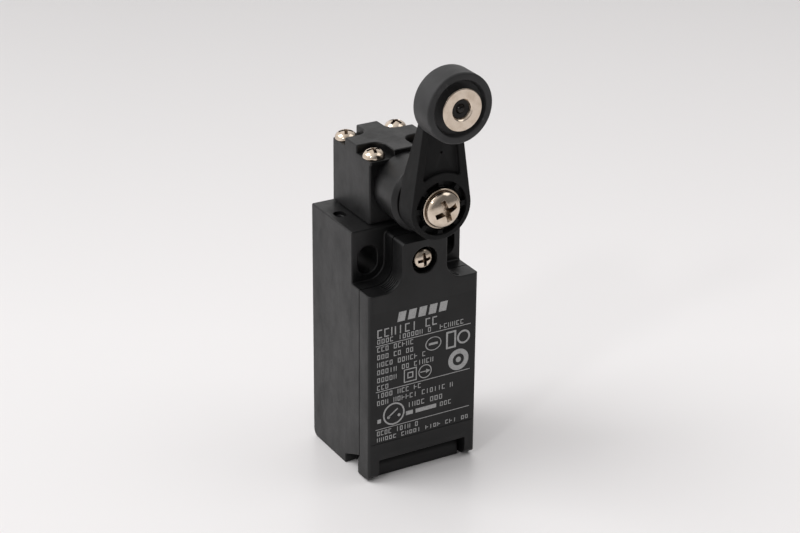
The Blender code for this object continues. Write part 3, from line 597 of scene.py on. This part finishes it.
def helix_ridge(name, axis, centre, radius, height, pitch, span, steps=48):
    """A thread: a ridge of triangular section round a cylinder, inside it if height is negative."""
    shape = bmesh.new()
    count = int((span[1] - span[0]) / pitch * steps)
    rows = []
    for step in range(count + 1):
        angle = 2 * math.pi * step / steps
        station = span[0] + pitch * step / steps
        fade = min(1.0, step / (steps / 3), (count - step) / (steps / 3))
        section = ((0, -0.42), (fade, 0), (0, 0.42))
        rows.append([
            shape.verts.new(
                place(
                    axis,
                    centre[0] + (radius + height * out) * math.cos(angle),
                    centre[1] + (radius + height * out) * math.sin(angle),
                    station + pitch * up * max(fade, 0.05),
                )
            )
            for out, up in section
        ])
    for low, high in zip(rows, rows[1:]):
        for index in range(3):
            after = (index + 1) % 3
            shape.faces.new((low[index], low[after], high[after], high[index]))
    shape.faces.new(rows[0])
    shape.faces.new(rows[-1])
    return shape_object(name, shape)


def build_conduit_thread():
    root = CONDUIT_RADIUS + 0.05
    thread = helix_ridge("thread", "height", CONDUIT_CENTRE, root, -0.55, 1.5, (1.6, 12.8), 72)
    finish_piece(thread, "conduit_thread", "case", "case_plastic", smooth=50)


def build_recess_ribs():
    """Fine ribs that follow each fillet between the shoulder and the tongue."""
    for side, name in ((-1, "left"), (1, "right")):
        middle = (side * (TONGUE_HALF + FILLET), SHELF + FILLET)
        start = 278 if side < 0 else 262
        end = 330 if side < 0 else 210
        outline = arc(middle, FILLET + 0.3, start, end, 16) + arc(middle, FILLET - 0.22, end, start, 16)
        shape = None
        for step in range(5):
            station = SEAM + 1.0 + 0.75 * step
            rib = slab("rib", "forward", outline, (station, station + 0.3))
            shape = rib if shape is None else join(shape, rib)
        ease(shape, 0.08, 2)
        finish_piece(shape, f"recess_ribs_{name}", "cover", "case_plastic")


def leg_outline(face):
    """The side view of a cover leg: an S-shaped back edge, the hinge ear and a rounded foot."""
    back = SEAM + GAP
    ear = (HINGE_FORWARD, HINGE_HEIGHT)
    ear_radius = HINGE_HEIGHT - COVER.bottom
    outline = [(back - TRIM, SHELF - 30), (back - TRIM, 8)]
    outline += [(back, 6.4), (back - 0.12, 5.7), (back - 0.5, 5.0)]
    outline += arc(ear, ear_radius, 138, 270, 14)
    outline += [(27.4, COVER.bottom + 0.06), (28.5, COVER.bottom + 0.4), (29.3, COVER.bottom + 0.95)]
    return outline + [(face, COVER.bottom + 1.8), (face, SHELF - 30)]


def build_cover():
    back, face = SEAM + GAP, COVER_FACE
    rough_back = back - TRIM
    spare_half = HALF_WIDTH + 0.5  # trimmed back to the body's width by the plan
    view = front_outline(spare_half, 8.0, COVER.top)
    shell = slab("front_cover", "forward", view, (rough_back, face))
    plan = rounded([
        (-HALF_WIDTH, rough_back),
        (HALF_WIDTH, rough_back),
        (HALF_WIDTH, face, 0.95),
        (-HALF_WIDTH, face, 0.95),
    ], 7)
    legs = [
        slab("leg", "across", leg_outline(face), sorted((side * (LEG_INNER + GAP), side * spare_half)))
        for side in (-1, 1)
    ]
    bridge = box("bridge", (-LEG_INNER - 0.5, LEG_INNER + 0.5), (back, face), (5.9, 9.0))
    join(shell, *legs, bridge)
    wrap = [(x, y) if y > rough_back else (x, y - 4) for x, y in plan]
    keep_common(shell, slab("plan", "height", wrap, (-2, 70)))
    inner_half = HALF_WIDTH - COVER_WALL
    pocket_height = (7.7, SHELF - COVER_WALL)
    pocket = box("pocket", (-inner_half, inner_half), (rough_back - 1, POCKET_FLOOR), pocket_height)
    counterbore = rod("counterbore", "forward", COVER_SCREW, 3.5, (face - COUNTERBORE_DEPTH, face + 1))
    screw_hole = rod("screw_hole", "forward", COVER_SCREW, SCREW_HOLE, (rough_back - 1, face), 32)
    cut(shell, pocket, counterbore, screw_hole)
    ease(shell, 0.26)
    cut(shell, box("trim", PAST_SIDES, (rough_back - 1, back), (SEAM_LOW, 70)))
    label = box("label", PAST_SIDES, (face - LABEL_SINK, face + 1), (LABEL_LOW, LABEL_HIGH))
    cut(shell, label)
    for side in (-1, 1):
        span = sorted((side * (LEG_INNER - 1.9), side * (LEG_INNER + 1)))
        join(shell, rod("hinge_pin", "across", (HINGE_FORWARD, HINGE_HEIGHT), 1.0, span, 32))
    stand_for(shell, "front_cover", "front_cover_shell")


def build_cover_inside():
    """Stiffening ribs across the cover's hollow, seen when it hangs open."""
    depth = (POCKET_FLOOR - 1.0, POCKET_FLOOR + 0.3)
    half = HALF_WIDTH - 1.6
    ribs = None
    for height in (18.5, 29.9, 41.3):
        rib = box("rib", (-half, half), depth, (height - 0.5, height + 0.5))
        ribs = rib if ribs is None else join(ribs, rib)
    spine = box("spine", (-0.5, 0.5), depth, (7.5, SHELF - 1.6))
    ease(join(ribs, spine), 0.15, 2)
    finish_piece(ribs, "cover_inner_ribs", "cover", "case_plastic")


def build_cover_seal():
    seal = reach("cover_seal")
    wall = 1.2
    outer = rounded_rectangle(seal.left, seal.right, seal.bottom, seal.top, 1.2)
    inner = rounded_rectangle(seal.left + wall, seal.right - wall, seal.bottom + wall, seal.top - wall, 0.7)
    piece = slab("cover_seal", "forward", outer, (seal.back - GAP + 0.03, POCKET_FLOOR + 0.1))
    cut(piece, slab("window", "forward", inner, (seal.back - 1, seal.front + 1)))
    ease(piece, 0.25)
    stand_for(piece, "cover_seal", "cover_seal_frame")


# ---- fasteners


def cross_recess(name, axis, centre, top, radius, depth, turn):
    """A cross recess: four tapering wings and a pointed middle."""
    tools = []
    reach_out, reach_in = radius * 0.78, radius * 0.46
    for quarter in (0, 90):
        angle = math.radians(turn + quarter)
        wing = [(-reach_out, top + 0.3), (reach_out, top + 0.3)]
        wing += [(reach_in, top - depth), (-reach_in, top - depth)]
        shape = bmesh.new()
        rows = []
        for side in (-1, 1):
            row = []
            for along, station in wing:
                width = side * radius * (0.15 if station > top else 0.12)
                first = centre[0] + along * math.cos(angle) - width * math.sin(angle)
                second = centre[1] + along * math.sin(angle) + width * math.cos(angle)
                row.append(shape.verts.new(place(axis, first, second, station)))
            rows.append(row)
            shape.faces.new(row)
        for index in range(4):
            after = (index + 1) % 4
            shape.faces.new((rows[0][index], rows[0][after], rows[1][after], rows[1][index]))
        tools.append(shape_object(f"{name}_wing", shape))
    point = [(0, top - depth * 1.1), (radius * 0.2, top - depth * 0.7)]
    point += [(radius * 0.26, top + 0.3), (0, top + 0.3)]
    tools.append(turned(f"{name}_point", axis, centre, point, 24))
    return tools


def pan_head(name, axis, centre, seat, head, shank, turn):
    """A screw with a domed head on its seat and a plain shank behind it, each a (radius, length)."""
    radius, length = head
    shank_radius, shank_length = shank
    rim = length * 0.18
    section = [(0, -shank_length), (shank_radius * 0.8, -shank_length), (shank_radius, 0.5 - shank_length)]
    section += [(shank_radius, 0), (radius - 0.1, 0), (radius, 0.1)]
    for step in range(16):
        angle = math.radians(6 * step)
        section.append((radius * math.cos(angle), rim + (length - rim) * math.sin(angle)))
    section[-1] = (0, length)
    screw = turned(name, axis, centre, [(across, seat + rise) for across, rise in section], 64)
    cut(screw, *cross_recess(name, axis, centre, seat + length, radius, length * 0.68, turn))
    ease(screw, 0.05, 2, 40)
    return screw


def build_screws():
    turns = {"back_left": 25, "back_right": 62, "front_left": 12, "front_right": 48}
    for name, centre in head_screw_places().items():
        screw = pan_head(name, "height", centre, CAP_LEDGE + 0.02, (2.75, 2.15), (1.5, 20.7), turns[name])
        stand_for(screw, f"head_screw_{name}", f"head_screw_{name}_turned")
    node = reach("cover_screw")
    seat = COVER_FACE - COUNTERBORE_DEPTH + 0.85
    screw = pan_head("cover_screw", "forward", COVER_SCREW, seat, (2.85, node.front - seat), (1.5, 9.0), 8)
    stand_for(screw, "cover_screw", "cover_screw_turned")


# ---- head


def build_head_block():
    plan = rounded_rectangle(HEAD.left, HEAD.right, HEAD.back, HEAD_FRONT, 0.45)
    block = slab("head_block", "height", plan, (HEAD.bottom, HEAD_SEAM + TRIM))
    boss_section = rounded([
        (0, 17),
        (BOSS_ROOT_RADIUS, 17),
        (BOSS_RADIUS, HEAD.front - 1.2, 0.6),
        (BOSS_RADIUS - 1.0, HEAD.front, 0.3),
        (0, HEAD.front),
    ])
    boss = turned("boss", "forward", SHAFT_LINE, boss_section, 96)
    join(block, boss)
    bore = rod("head_bore", "height", HEAD_CENTRE, 6.6, (60, 90))
    bush_bore = rod("bush_bore", "forward", SHAFT_LINE, 5.7, (18, 32))
    shaft_bore = rod("shaft_bore", "forward", SHAFT_LINE, 4.5, (14, 20))
    cut(block, bore, bush_bore, shaft_bore)
    for centre in head_screw_places().values():
        cut(block, rod("head_hole", "height", centre, SCREW_HOLE, (60, 90), 24))
    cut(block, box("cap_room", (-11, 11), (-1, CAP.front + 0.02), (HEAD_SEAM, 90)))
    stand_for(block, "head_block", "head_block_shell")


def cross_outline():
    """The plan of the cap's raised cross: its arms end at the plate's edges, and fillets join them."""
    middle = HEAD_CENTRE[1]
    centre = CROSS_HALF + CROSS_FILLET
    corners = (
        (1, 1, CAP.right, CAP.front - middle),
        (-1, 1, -CAP.left, CAP.front - middle),
        (-1, -1, -CAP.left, middle - CAP.back),
        (1, -1, CAP.right, middle - CAP.back),
    )
    outline = []
    for side, end, out, along in corners:
        quarter = [(out, CROSS_HALF), *arc((centre, centre), CROSS_FILLET, 270, 180, 10), (CROSS_HALF, along)]
        quarter = quarter if side == end else reversed(quarter)
        outline += [(side * across, middle + end * forward) for across, forward in quarter]
    return outline


def build_head_cap():
    """A square plate under the screw heads, with a raised cross between them."""
    plan = rounded_rectangle(CAP.left, CAP.right, CAP.back, CAP.front, 0.5)
    plate = slab("head_cap", "height", plan, (HEAD_SEAM - TRIM, CAP_LEDGE))
    cross = slab("cross", "height", cross_outline(), (HEAD_SEAM - TRIM, CAP.top))
    ease(plate, 0.22)
    join(plate, ease(cross, 0.34, 4))
    for centre in head_screw_places().values():
        cut(plate, rod("cap_hole", "height", centre, 1.7, (78, 90), 24))
    cut(plate, box("trim", (-12, 12), (-2, 30), (70, HEAD_SEAM + 0.01)))
    stand_for(plate, "head_cap", "head_cap_plate")


# ---- lever and roller


def lever_outline(hub, tip, steps):
    """Two circles, round the shaft and round the roller pin, joined by their outer tangents."""
    lean = math.degrees(math.asin((hub - tip) / (ROLLER_HEIGHT - SHAFT_HEIGHT)))
    outline = arc(SHAFT_LINE, hub, 180 - lean, 360 + lean, steps)
    return outline + arc(ROLLER_LINE, tip, lean, 180 - lean, steps // 2)


def panel_outline():
    """The sunk panel in the arm's front, whose lower edge follows the hub."""
    rim = 1.5
    sides = lever_outline(HUB_RADIUS - rim, TIP_RADIUS - rim, 40)
    lower = arc(SHAFT_LINE, 9.0, 121, 59, 20)
    corner_left = (lower[0][0] - 0.45, lower[0][1] + 0.25)
    corner_right = (lower[-1][0] + 0.45, lower[-1][1] + 0.25)
    return [corner_left] + lower + [corner_right] + [point for point in sides if point[1] > ROLLER_HEIGHT]


def build_lever_arm():
    front = ARM.front
    arm = slab("lever_arm", "forward", lever_outline(HUB_RADIUS, TIP_RADIUS, 64), (ARM.back, front))
    low, high = ARM_SLOPE
    slope = [(28, low), (ARM.back, low), (ARM_TIP_BACK, high), (ARM_TIP_BACK, 112), (28, 112)]
    panel = slab("panel", "forward", panel_outline(), (front - 1, front + 1))
    shaft_hole = rod("shaft_hole", "forward", SHAFT_LINE, 4.4, (ARM.back - 1, front + 1))
    seat = rod("washer_seat", "forward", SHAFT_LINE, 5.45, (front - 0.9, front + 1))
    pin_hole = rod("pin_hole", "forward", ROLLER_LINE, 2.2, (30, 40), 32)
    cut(arm, slab("slope", "across", slope, (-12, 12)), panel, shaft_hole, seat, pin_hole)
    ease(arm, 0.28)
    groove = tube("groove", "forward", SHAFT_LINE, 5.75, 6.95, (front - 0.45, front + 1), 0.05)
    cut(arm, groove)
    for step in range(8):
        middle = 22.5 + 45 * step
        outline = arc(SHAFT_LINE, 6.9, middle - 16.5, middle + 16.5, 8)
        outline += arc(SHAFT_LINE, 5.3, middle + 16.5, middle - 16.5, 8)
        cut(arm, slab("castle", "forward", outline, (front - 1.7, front + 1)))
    gate_centre = (0.3, SHAFT_HEIGHT + 14)
    gate_section = [(0, front - 1.5), (0.3, front - 1.4), (0.45, front), (0, front)]
    cut(arm, turned("gate", "forward", gate_centre, gate_section, 20))
    stand_for(arm, "lever_arm", "lever_arm_moulding")


def build_lever_fasteners():
    front = reach("lever_washer").front
    radius = reach("lever_washer").right
    washer = tube("washer", "forward", SHAFT_LINE, 2.8, radius, (front - 0.8, front), 0.2, 96)
    stand_for(washer, "lever_washer", "lever_washer_turned")
    screw_node = reach("lever_screw")
    length = screw_node.front - front - 0.02
    screw = pan_head(
        "lever_screw", "forward", SHAFT_LINE, front + 0.02, (screw_node.right - 0.05, length), (2.3, 10), 20
    )
    stand_for(screw, "lever_screw", "lever_screw_turned")


def build_roller():
    radius, back, front = ROLLER.right, ROLLER.back, ROLLER.front
    section = rounded([
        (2.2, back + 0.6),
        (4.4, back + 0.6),
        (4.8, back, 0.2),
        (radius, back, 0.5),
        (radius, front, 0.55),
        (6.95, front, 0.35),
        (6.55, front - 1.5, 0.3),
        (2.2, front - 1.5),
    ], 6)
    wheel = turned("roller", "forward", ROLLER_LINE, section, 128)
    stand_for(wheel, "roller", "roller_wheel")


def build_roller_pin():
    """A rivet with a broad dished disc in front, a dark core in the dish, and a small head behind the arm."""
    front = PIN.front
    disc = PIN.right
    head_back, head_front = PIN.back, PIN.back + RIVET_HEAD
    neck = ROLLER.front - 1.4 + 0.1
    section = rounded([
        (0, head_back),
        (2.6, head_back, 0.4),
        (3.2, head_back + 0.5, 0.2),
        (3.2, head_front),
        (2.0, head_front),
        (2.0, neck),
        (3.0, neck),
        (3.4, front - 0.42),
        (disc - 0.1, front - 0.42, 0.05),
        (disc, front - 0.3),
        (disc, front - 0.1, 0.05),
        (disc - 0.2, front, 0.15),
        (2.8, front, 0.2),
        (2.45, front - 0.35, 0.15),
        (2.0, front - 1.25, 0.25),
        (0, front - 1.3),
    ], 5)
    pin = turned("roller_pin", "forward", ROLLER_LINE, section, 96)
    stand_for(pin, "roller_pin", "roller_pin_turned")
    core_section = [
        (0, front - 1.5), (2.25, front - 1.5), (2.3, front - 0.8), (1.2, front - 1.05),
        (0.85, front - 0.5), (0.5, front - 0.3), (0, front - 0.28),
    ]
    core = turned("pin_core", "forward", ROLLER_LINE, core_section, 64)
    ease(core, 0.08, 2, 25)
    finish_piece(core, "roller_pin_core", BODY_OF_NODE["roller_pin"], "shaft_steel", material=BLACKED)
    node = reach("roller_washer")
    span = (node.back - 0.15, node.front + 0.1)
    washer = tube("washer", "forward", ROLLER_LINE, 2.1, node.right, span, 0.08)
    stand_for(washer, "roller_washer", "roller_washer_turned")


# ---- contact block


def terminal_names():
    return ("upper_left", "upper_right", "lower_left", "lower_right")


def node_box(name):
    """A box that fills all that a CAD node reaches."""
    node = reach(name)
    return box(name, (node.left, node.right), (node.back, node.front), (node.bottom, node.top))


def build_contact_block():
    lid = reach("contact_lid")
    base = reach("contact_base")
    plate = node_box("contact_lid")
    wall_front = lid.front + 3.6
    middle = (lid.bottom + lid.top) / 2
    upright = box("upright", (-1.6, 1.6), (lid.front - 0.5, wall_front), (lid.bottom + 1.2, lid.top - 1.2))
    across_wall = box(
        "across_wall",
        (lid.left + 0.8, lid.right - 0.8),
        (lid.front - 0.5, wall_front - 0.8),
        (middle - 0.9, middle + 0.9),
    )
    join(plate, upright, across_wall)
    for name in ("left", "right"):
        centre = front_centre(f"block_screw_{name}")
        cut(plate, rod("screw_room", "forward", centre, 2.3, (lid.front + 0.05, 30), 32))
        cut(plate, rod("screw_hole", "forward", centre, 1.2, (2, 30), 24))
    for name in terminal_names():
        pad = reach(f"terminal_{name}")
        centre = front_centre(f"terminal_screw_{name}")
        strip = (pad.top - 1.1, pad.top + 0.3) if "upper" in name else (pad.bottom - 0.3, pad.bottom + 1.1)
        cut(
            plate,
            rod("shank_room", "forward", centre, 2.0, (lid.back - 1, lid.front + 0.2), 32),
            box("tab_slot", (centre[0] - 2.2, centre[0] + 2.2), (lid.back - 1, lid.front + 0.2), strip),
        )
    ease(plate, 0.2, 2)
    stand_for(plate, "contact_lid", "contact_lid_moulding")

    tub = node_box("contact_base")
    inside = box("inside", (-9.8, 9.8), (base.back + 1.8, 20), (base.bottom + 1.6, base.top - 1.6))
    cut(tub, inside, rod("stem", "height", HEAD_CENTRE, 2.4, (40, 60), 32))
    ease(tub, 0.3)
    stand_for(tub, "contact_base", "contact_base_moulding")


def build_terminals():
    for index, name in enumerate(terminal_names()):
        pad = reach(f"terminal_{name}")
        screw = reach(f"terminal_screw_{name}")
        washer = reach(f"clamp_washer_{name}")
        centre = front_centre(f"terminal_screw_{name}")
        upper = "upper" in name
        pad_back = washer.back - GAP - 0.9
        piece = box("terminal", (pad.left, pad.right), (pad_back, pad_back + 0.9), (pad.bottom, pad.top))
        strip = (pad.top - 0.8, pad.top) if upper else (pad.bottom, pad.bottom + 0.8)
        button = (pad.top - 1.4, pad.top - 0.5) if upper else (pad.bottom + 0.5, pad.bottom + 1.4)
        join(
            piece,
            box("strip", (centre[0] - 1.9, centre[0] + 1.9), (pad.back, pad_back + 0.4), strip),
            rod("button", "height", (centre[0], HEAD_CENTRE[1]), 1.3, button, 32),
        )
        cut(piece, rod("thread", "forward", centre, 1.9, (13, 20), 32))
        ease(piece, 0.12, 2)
        stand_for(piece, f"terminal_{name}", f"terminal_{name}_pressing")

        thickness = (pad_back + 0.92, washer.front + 0.2)
        plate = box("clamp", (washer.left, washer.right), thickness, (washer.bottom, washer.top))
        cut(plate, rod("hole", "forward", centre, 1.9, (10, 20), 32))
        ease(plate, 0.15, 2)
        for step in (-1, 0, 1):
            groove = (centre[0] + step * 1.9, washer.back + 0.05)
            cut(plate, rod("tooth", "height", groove, 0.22, (washer.bottom - 1, washer.top + 1), 12))
        stand_for(plate, f"clamp_washer_{name}", f"clamp_washer_{name}_pressing")

        seat = washer.front + 0.22
        head = (2.75, screw.front - seat)
        shank = (1.6, seat - 13.6)
        turned_screw = pan_head("terminal_screw", "forward", centre, seat, head, shank, 20 + 37 * index)
        stand_for(turned_screw, f"terminal_screw_{name}", f"terminal_screw_{name}_turned")
    for index, name in enumerate(("left", "right")):
        node = reach(f"block_screw_{name}")
        centre = front_centre(f"block_screw_{name}")
        seat = reach("contact_lid").front + 0.07
        head = (1.8, node.front - seat)
        screw = pan_head("block_screw", "forward", centre, seat, head, (0.9, 8), 15 + 50 * index)
        stand_for(screw, f"block_screw_{name}", f"block_screw_{name}_turned")


# ---- markings


class Print:
    """Collects thin printed strokes on the cover's sunk label area and makes one piece of them."""

    def __init__(self):
        self.shape = bmesh.new()
        self.back = COVER_FACE - LABEL_SINK - 0.02
        self.front = COVER_FACE - LABEL_SINK + 0.025

    def area(self, outline):
        add_prism(self.shape, "forward", outline, (self.back, self.front))

    def bar(self, left, right, low, high):
        self.area([(left, low), (right, low), (right, high), (left, high)])

    def frame(self, left, right, low, high, stroke):
        self.bar(left, right, low, low + stroke)
        self.bar(left, right, high - stroke, high)
        self.bar(left, left + stroke, low + stroke, high - stroke)
        self.bar(right - stroke, right, low + stroke, high - stroke)

    def ring(self, centre, radius, stroke, start=0, end=360, squash=1.0):
        steps = 12
        for quarter in range(4):
            a = start + (end - start) * quarter / 4
            b = start + (end - start) * (quarter + 1) / 4
            outline = arc((0, 0), radius, a, b, steps) + arc((0, 0), radius - stroke, b, a, steps)
            self.area([(centre[0] + x, centre[1] + y * squash) for x, y in outline])

    def disc(self, centre, radius):
        self.area(arc(centre, radius, 0, 345, 23))

    def glyph(self, kind, left, low, width, height, stroke):
        """One plain mark of a line of small print: it stands for lettering and spells nothing."""
        right, top, middle = left + width, low + height, low + height / 2
        if kind == 0:
            self.frame(left, right, low, top, stroke)
        elif kind == 1:
            self.bar(left + width / 2 - stroke / 2, left + width / 2 + stroke / 2, low, top)
        elif kind == 2:
            self.bar(left, left + stroke, low, top)
            self.bar(right - stroke, right, low, top)
        elif kind == 3:
            self.bar(left, right, middle - stroke / 2, middle + stroke / 2)
        elif kind == 4:
            self.bar(left, right, top - stroke, top)
            self.bar(left, right, low, low + stroke)
            self.bar(left, left + stroke, low + stroke, top - stroke)
        else:
            self.bar(left, left + stroke, low, top)
            self.bar(left + stroke, right, middle - stroke / 2, middle + stroke / 2)

    def row(self, draw, left, right, low, height, pitch, stroke):
        """A line of plain marks with gaps between its words."""
        word = draw.randint(3, 6)
        while left + pitch * 0.7 <= right:
            if word:
                self.glyph(draw.choice((0, 0, 1, 2, 4, 5, 0, 4)), left, low, pitch * 0.68, height, stroke)
                word -= 1
            else:
                word = draw.randint(2, 6)
            left += pitch


def build_markings():
    """Printed marks laid out like a rating label: rows of plain marks, rules and simple signs."""
    marks = Print()
    draw = random.Random(11)
    for step in range(5):
        left = -7.6 + 2.95 * step
        marks.area([(left, 43.6), (left + 2.1, 43.6), (left + 2.6, 46.2), (left + 0.5, 46.2)])
    marks.row(draw, -13.2, 3.9, 40.35, 2.3, 1.95, 0.3)
    marks.row(draw, -13.2, 2.6, 38.75, 1.25, 1.2, 0.19)
    marks.row(draw, 4.6, 12.8, 38.75, 1.25, 1.2, 0.19)
    small_rows = (
        (36.55, -2.0), (34.45, -2.9), (32.35, 1.2), (30.25, 4.4), (28.05, -6.8), (25.95, -9.4),
        (23.7, 0.5), (21.65, 9.5),
    )
    for low, right in small_rows:
        marks.row(draw, -13.2, right, low, 1.3, 1.17, 0.19)
    marks.row(draw, -4.4, 6.3, 19.0, 1.35, 1.3, 0.2)
    marks.bar(-4.9, -2.9, 16.9, 18.0)
    marks.bar(-2.1, 3.9, 16.9, 18.0)
    marks.row(draw, 5.0, 8.8, 16.9, 1.2, 1.2, 0.18)
    marks.bar(-13.1, -12.1, 16.6, 17.7)
    marks.row(draw, -13.2, -1.1, 13.05, 1.3, 1.1, 0.19)
    marks.row(draw, -13.2, 13.5, 11.35, 1.1, 1.17, 0.19)
    for height in (38.25, 25.5, 14.85):
        marks.bar(-13.6, 13.6, height - 0.09, height + 0.09)

    marks.ring((2.8, 35.2), 2.3, 0.25, squash=0.82)
    marks.bar(1.5, 4.1, 34.9, 35.5)
    marks.frame(6.5, 9.4, 32.6, 37.4, 0.5)
    marks.ring((11.6, 35.0), 1.9, 0.5)
    marks.ring((10.2, 28.9), 2.95, 1.3)
    marks.disc((10.2, 28.9), 0.75)
    marks.frame(-5.6, -1.9, 26.2, 29.9, 0.26)
    marks.frame(-4.6, -2.9, 27.2, 28.9, 0.3)
    marks.ring((0.5, 28.0), 1.9, 0.24)
    marks.bar(-0.9, 1.1, 27.87, 28.13)
    marks.area([(0.8, 27.4), (2.0, 28.0), (0.8, 28.6)])
    marks.ring((-8.4, 18.3), 3.1, 0.42)
    marks.disc((-9.9, 17.6), 0.42)
    marks.disc((-6.9, 17.6), 0.42)
    marks.area([(-9.9, 17.5), (-7.2, 19.4), (-7.4, 19.7), (-10.1, 17.8)])
    finish_piece(shape_object("print", marks.shape), "cover_print", "cover", "case_plastic", material=INK)


# ---- carried-over nodes


def dress_cad_nodes():
    """Gives every CAD node that still shows its slot's material."""
    for name, node in frame["nodes"].items():
        if node.hide_render:
            continue
        node.data.materials.clear()
        node.data.materials.append(MATERIALS[SLOT_OF_NODE[name]])


# ---- studio


def floor_falloff(tree, direction, near, far, low):
    """The light's falloff over the paper: 1 up to near and low beyond far, in metres along a direction."""
    where = tree.nodes.new("ShaderNodeTexCoord")
    along = tree.nodes.new("ShaderNodeVectorMath")
    along.operation = "DOT_PRODUCT"
    along.inputs[1].default_value = (*direction, 0)
    tree.links.new(where.outputs["Object"], along.inputs[0])
    return spread(tree, along.outputs["Value"], 1.0, low, near, far)


def build_floor():
    made, tree, shader = new_material("floor_paper", (0.8, 0.79, 0.79), 0.32, specular=0.4)
    away = floor_falloff(tree, (0.5, 0.866), 0.05, 0.45, 0.72)
    leftward = floor_falloff(tree, (-0.866, 0.5), -0.2, 0.1, 0.91)
    lit = calculated(tree, "MULTIPLY", away, leftward)
    paper = mixed(tree, lit, (0.0, 0.0, 0.0), (0.88, 0.865, 0.867))
    tree.links.new(paper, shader.inputs["Base Color"])
    shape = bmesh.new()
    bmesh.ops.create_grid(shape, x_segments=1, y_segments=1, size=3)
    data = bpy.data.meshes.new("floor")
    shape.to_mesh(data)
    shape.free()
    data.materials.append(made)
    floor = bpy.data.objects.new("floor", data)
    floor.location.z = (FOOT - 0.02) * MM
    bpy.context.scene.collection.objects.link(floor)


CAMERA_ANGLES = (-29.985, 24.915, 0.471)  # azimuth, elevation and roll in degrees
CAMERA_PLACE = (-0.25059, -0.45190, 0.22733)
CAMERA_LENS = 99.74


def add_area(name, position, target, size, power, colour=(1, 1, 1)):
    data = bpy.data.lights.new(name, "AREA")
    data.shape = "RECTANGLE"
    data.size, data.size_y = size
    data.energy = power
    data.color = colour
    light = bpy.data.objects.new(name, data)
    light.location = position
    light.rotation_euler = (Vector(target) - Vector(position)).to_track_quat("-Z", "Y").to_euler()
    bpy.context.scene.collection.objects.link(light)


def build_world():
    """Surroundings that are bright behind and to the left of the object, and dim in front of it."""
    world = bpy.data.worlds.new("studio")
    bpy.context.scene.world = world
    world.use_nodes = True
    tree = world.node_tree
    where = tree.nodes.new("ShaderNodeTexCoord")
    facing = tree.nodes.new("ShaderNodeVectorMath")
    facing.operation = "DOT_PRODUCT"
    facing.inputs[1].default_value = Vector((-0.55, 0.75, 0.35)).normalized()
    tree.links.new(where.outputs["Generated"], facing.inputs[0])
    share = spread(tree, facing.outputs["Value"], 0.19, 0.95, -0.4, 0.5)
    background = tree.nodes["Background"]
    background.inputs["Color"].default_value = (1.0, 0.985, 0.98, 1)
    tree.links.new(share, background.inputs["Strength"])


def build_camera():
    azimuth, elevation, roll = (math.radians(angle) for angle in CAMERA_ANGLES)
    back = Vector((
        math.sin(azimuth) * math.cos(elevation),
        -math.cos(azimuth) * math.cos(elevation),
        math.sin(elevation),
    ))
    level = Vector((math.cos(azimuth), math.sin(azimuth), 0))
    upright = back.cross(level)
    right = level * math.cos(roll) + upright * math.sin(roll)
    data = bpy.data.cameras.new("camera")
    data.lens = CAMERA_LENS
    data.sensor_width = 36
    data.clip_start = 0.01
    camera = bpy.data.objects.new("camera", data)
    turn = Matrix((right, back.cross(right), back)).transposed().to_4x4()
    camera.matrix_world = Matrix.Translation(CAMERA_PLACE) @ turn
    bpy.context.scene.collection.objects.link(camera)
    bpy.context.scene.camera = camera


def main():
    build_housing()
    build_conduit_thread()
    build_recess_ribs()
    build_cover()
    build_cover_inside()
    build_cover_seal()
    build_screws()
    build_head_block()
    build_head_cap()
    build_lever_arm()
    build_lever_fasteners()
    build_roller()
    build_roller_pin()
    build_contact_block()
    build_terminals()
    build_markings()
    for shape in list(WORKSHOP.objects):
        bpy.data.objects.remove(shape)
    dress_cad_nodes()
    build_floor()
    build_world()
    add_area("window", (-0.6, 0.3, 0.75), (0, 0, 0), (0.6, 0.6), 4.4)
    add_area("highlight", (-0.72, -0.39, 0.57), (0, 0, 0), (0.09, 0.09), 0.9)
    add_area("fill", (0.6, -0.3, 0.8), (0.15, -0.05, 0), (0.6, 0.6), 1.5)
    build_camera()
    bpy.context.scene.view_settings.view_transform = "Standard"


main()
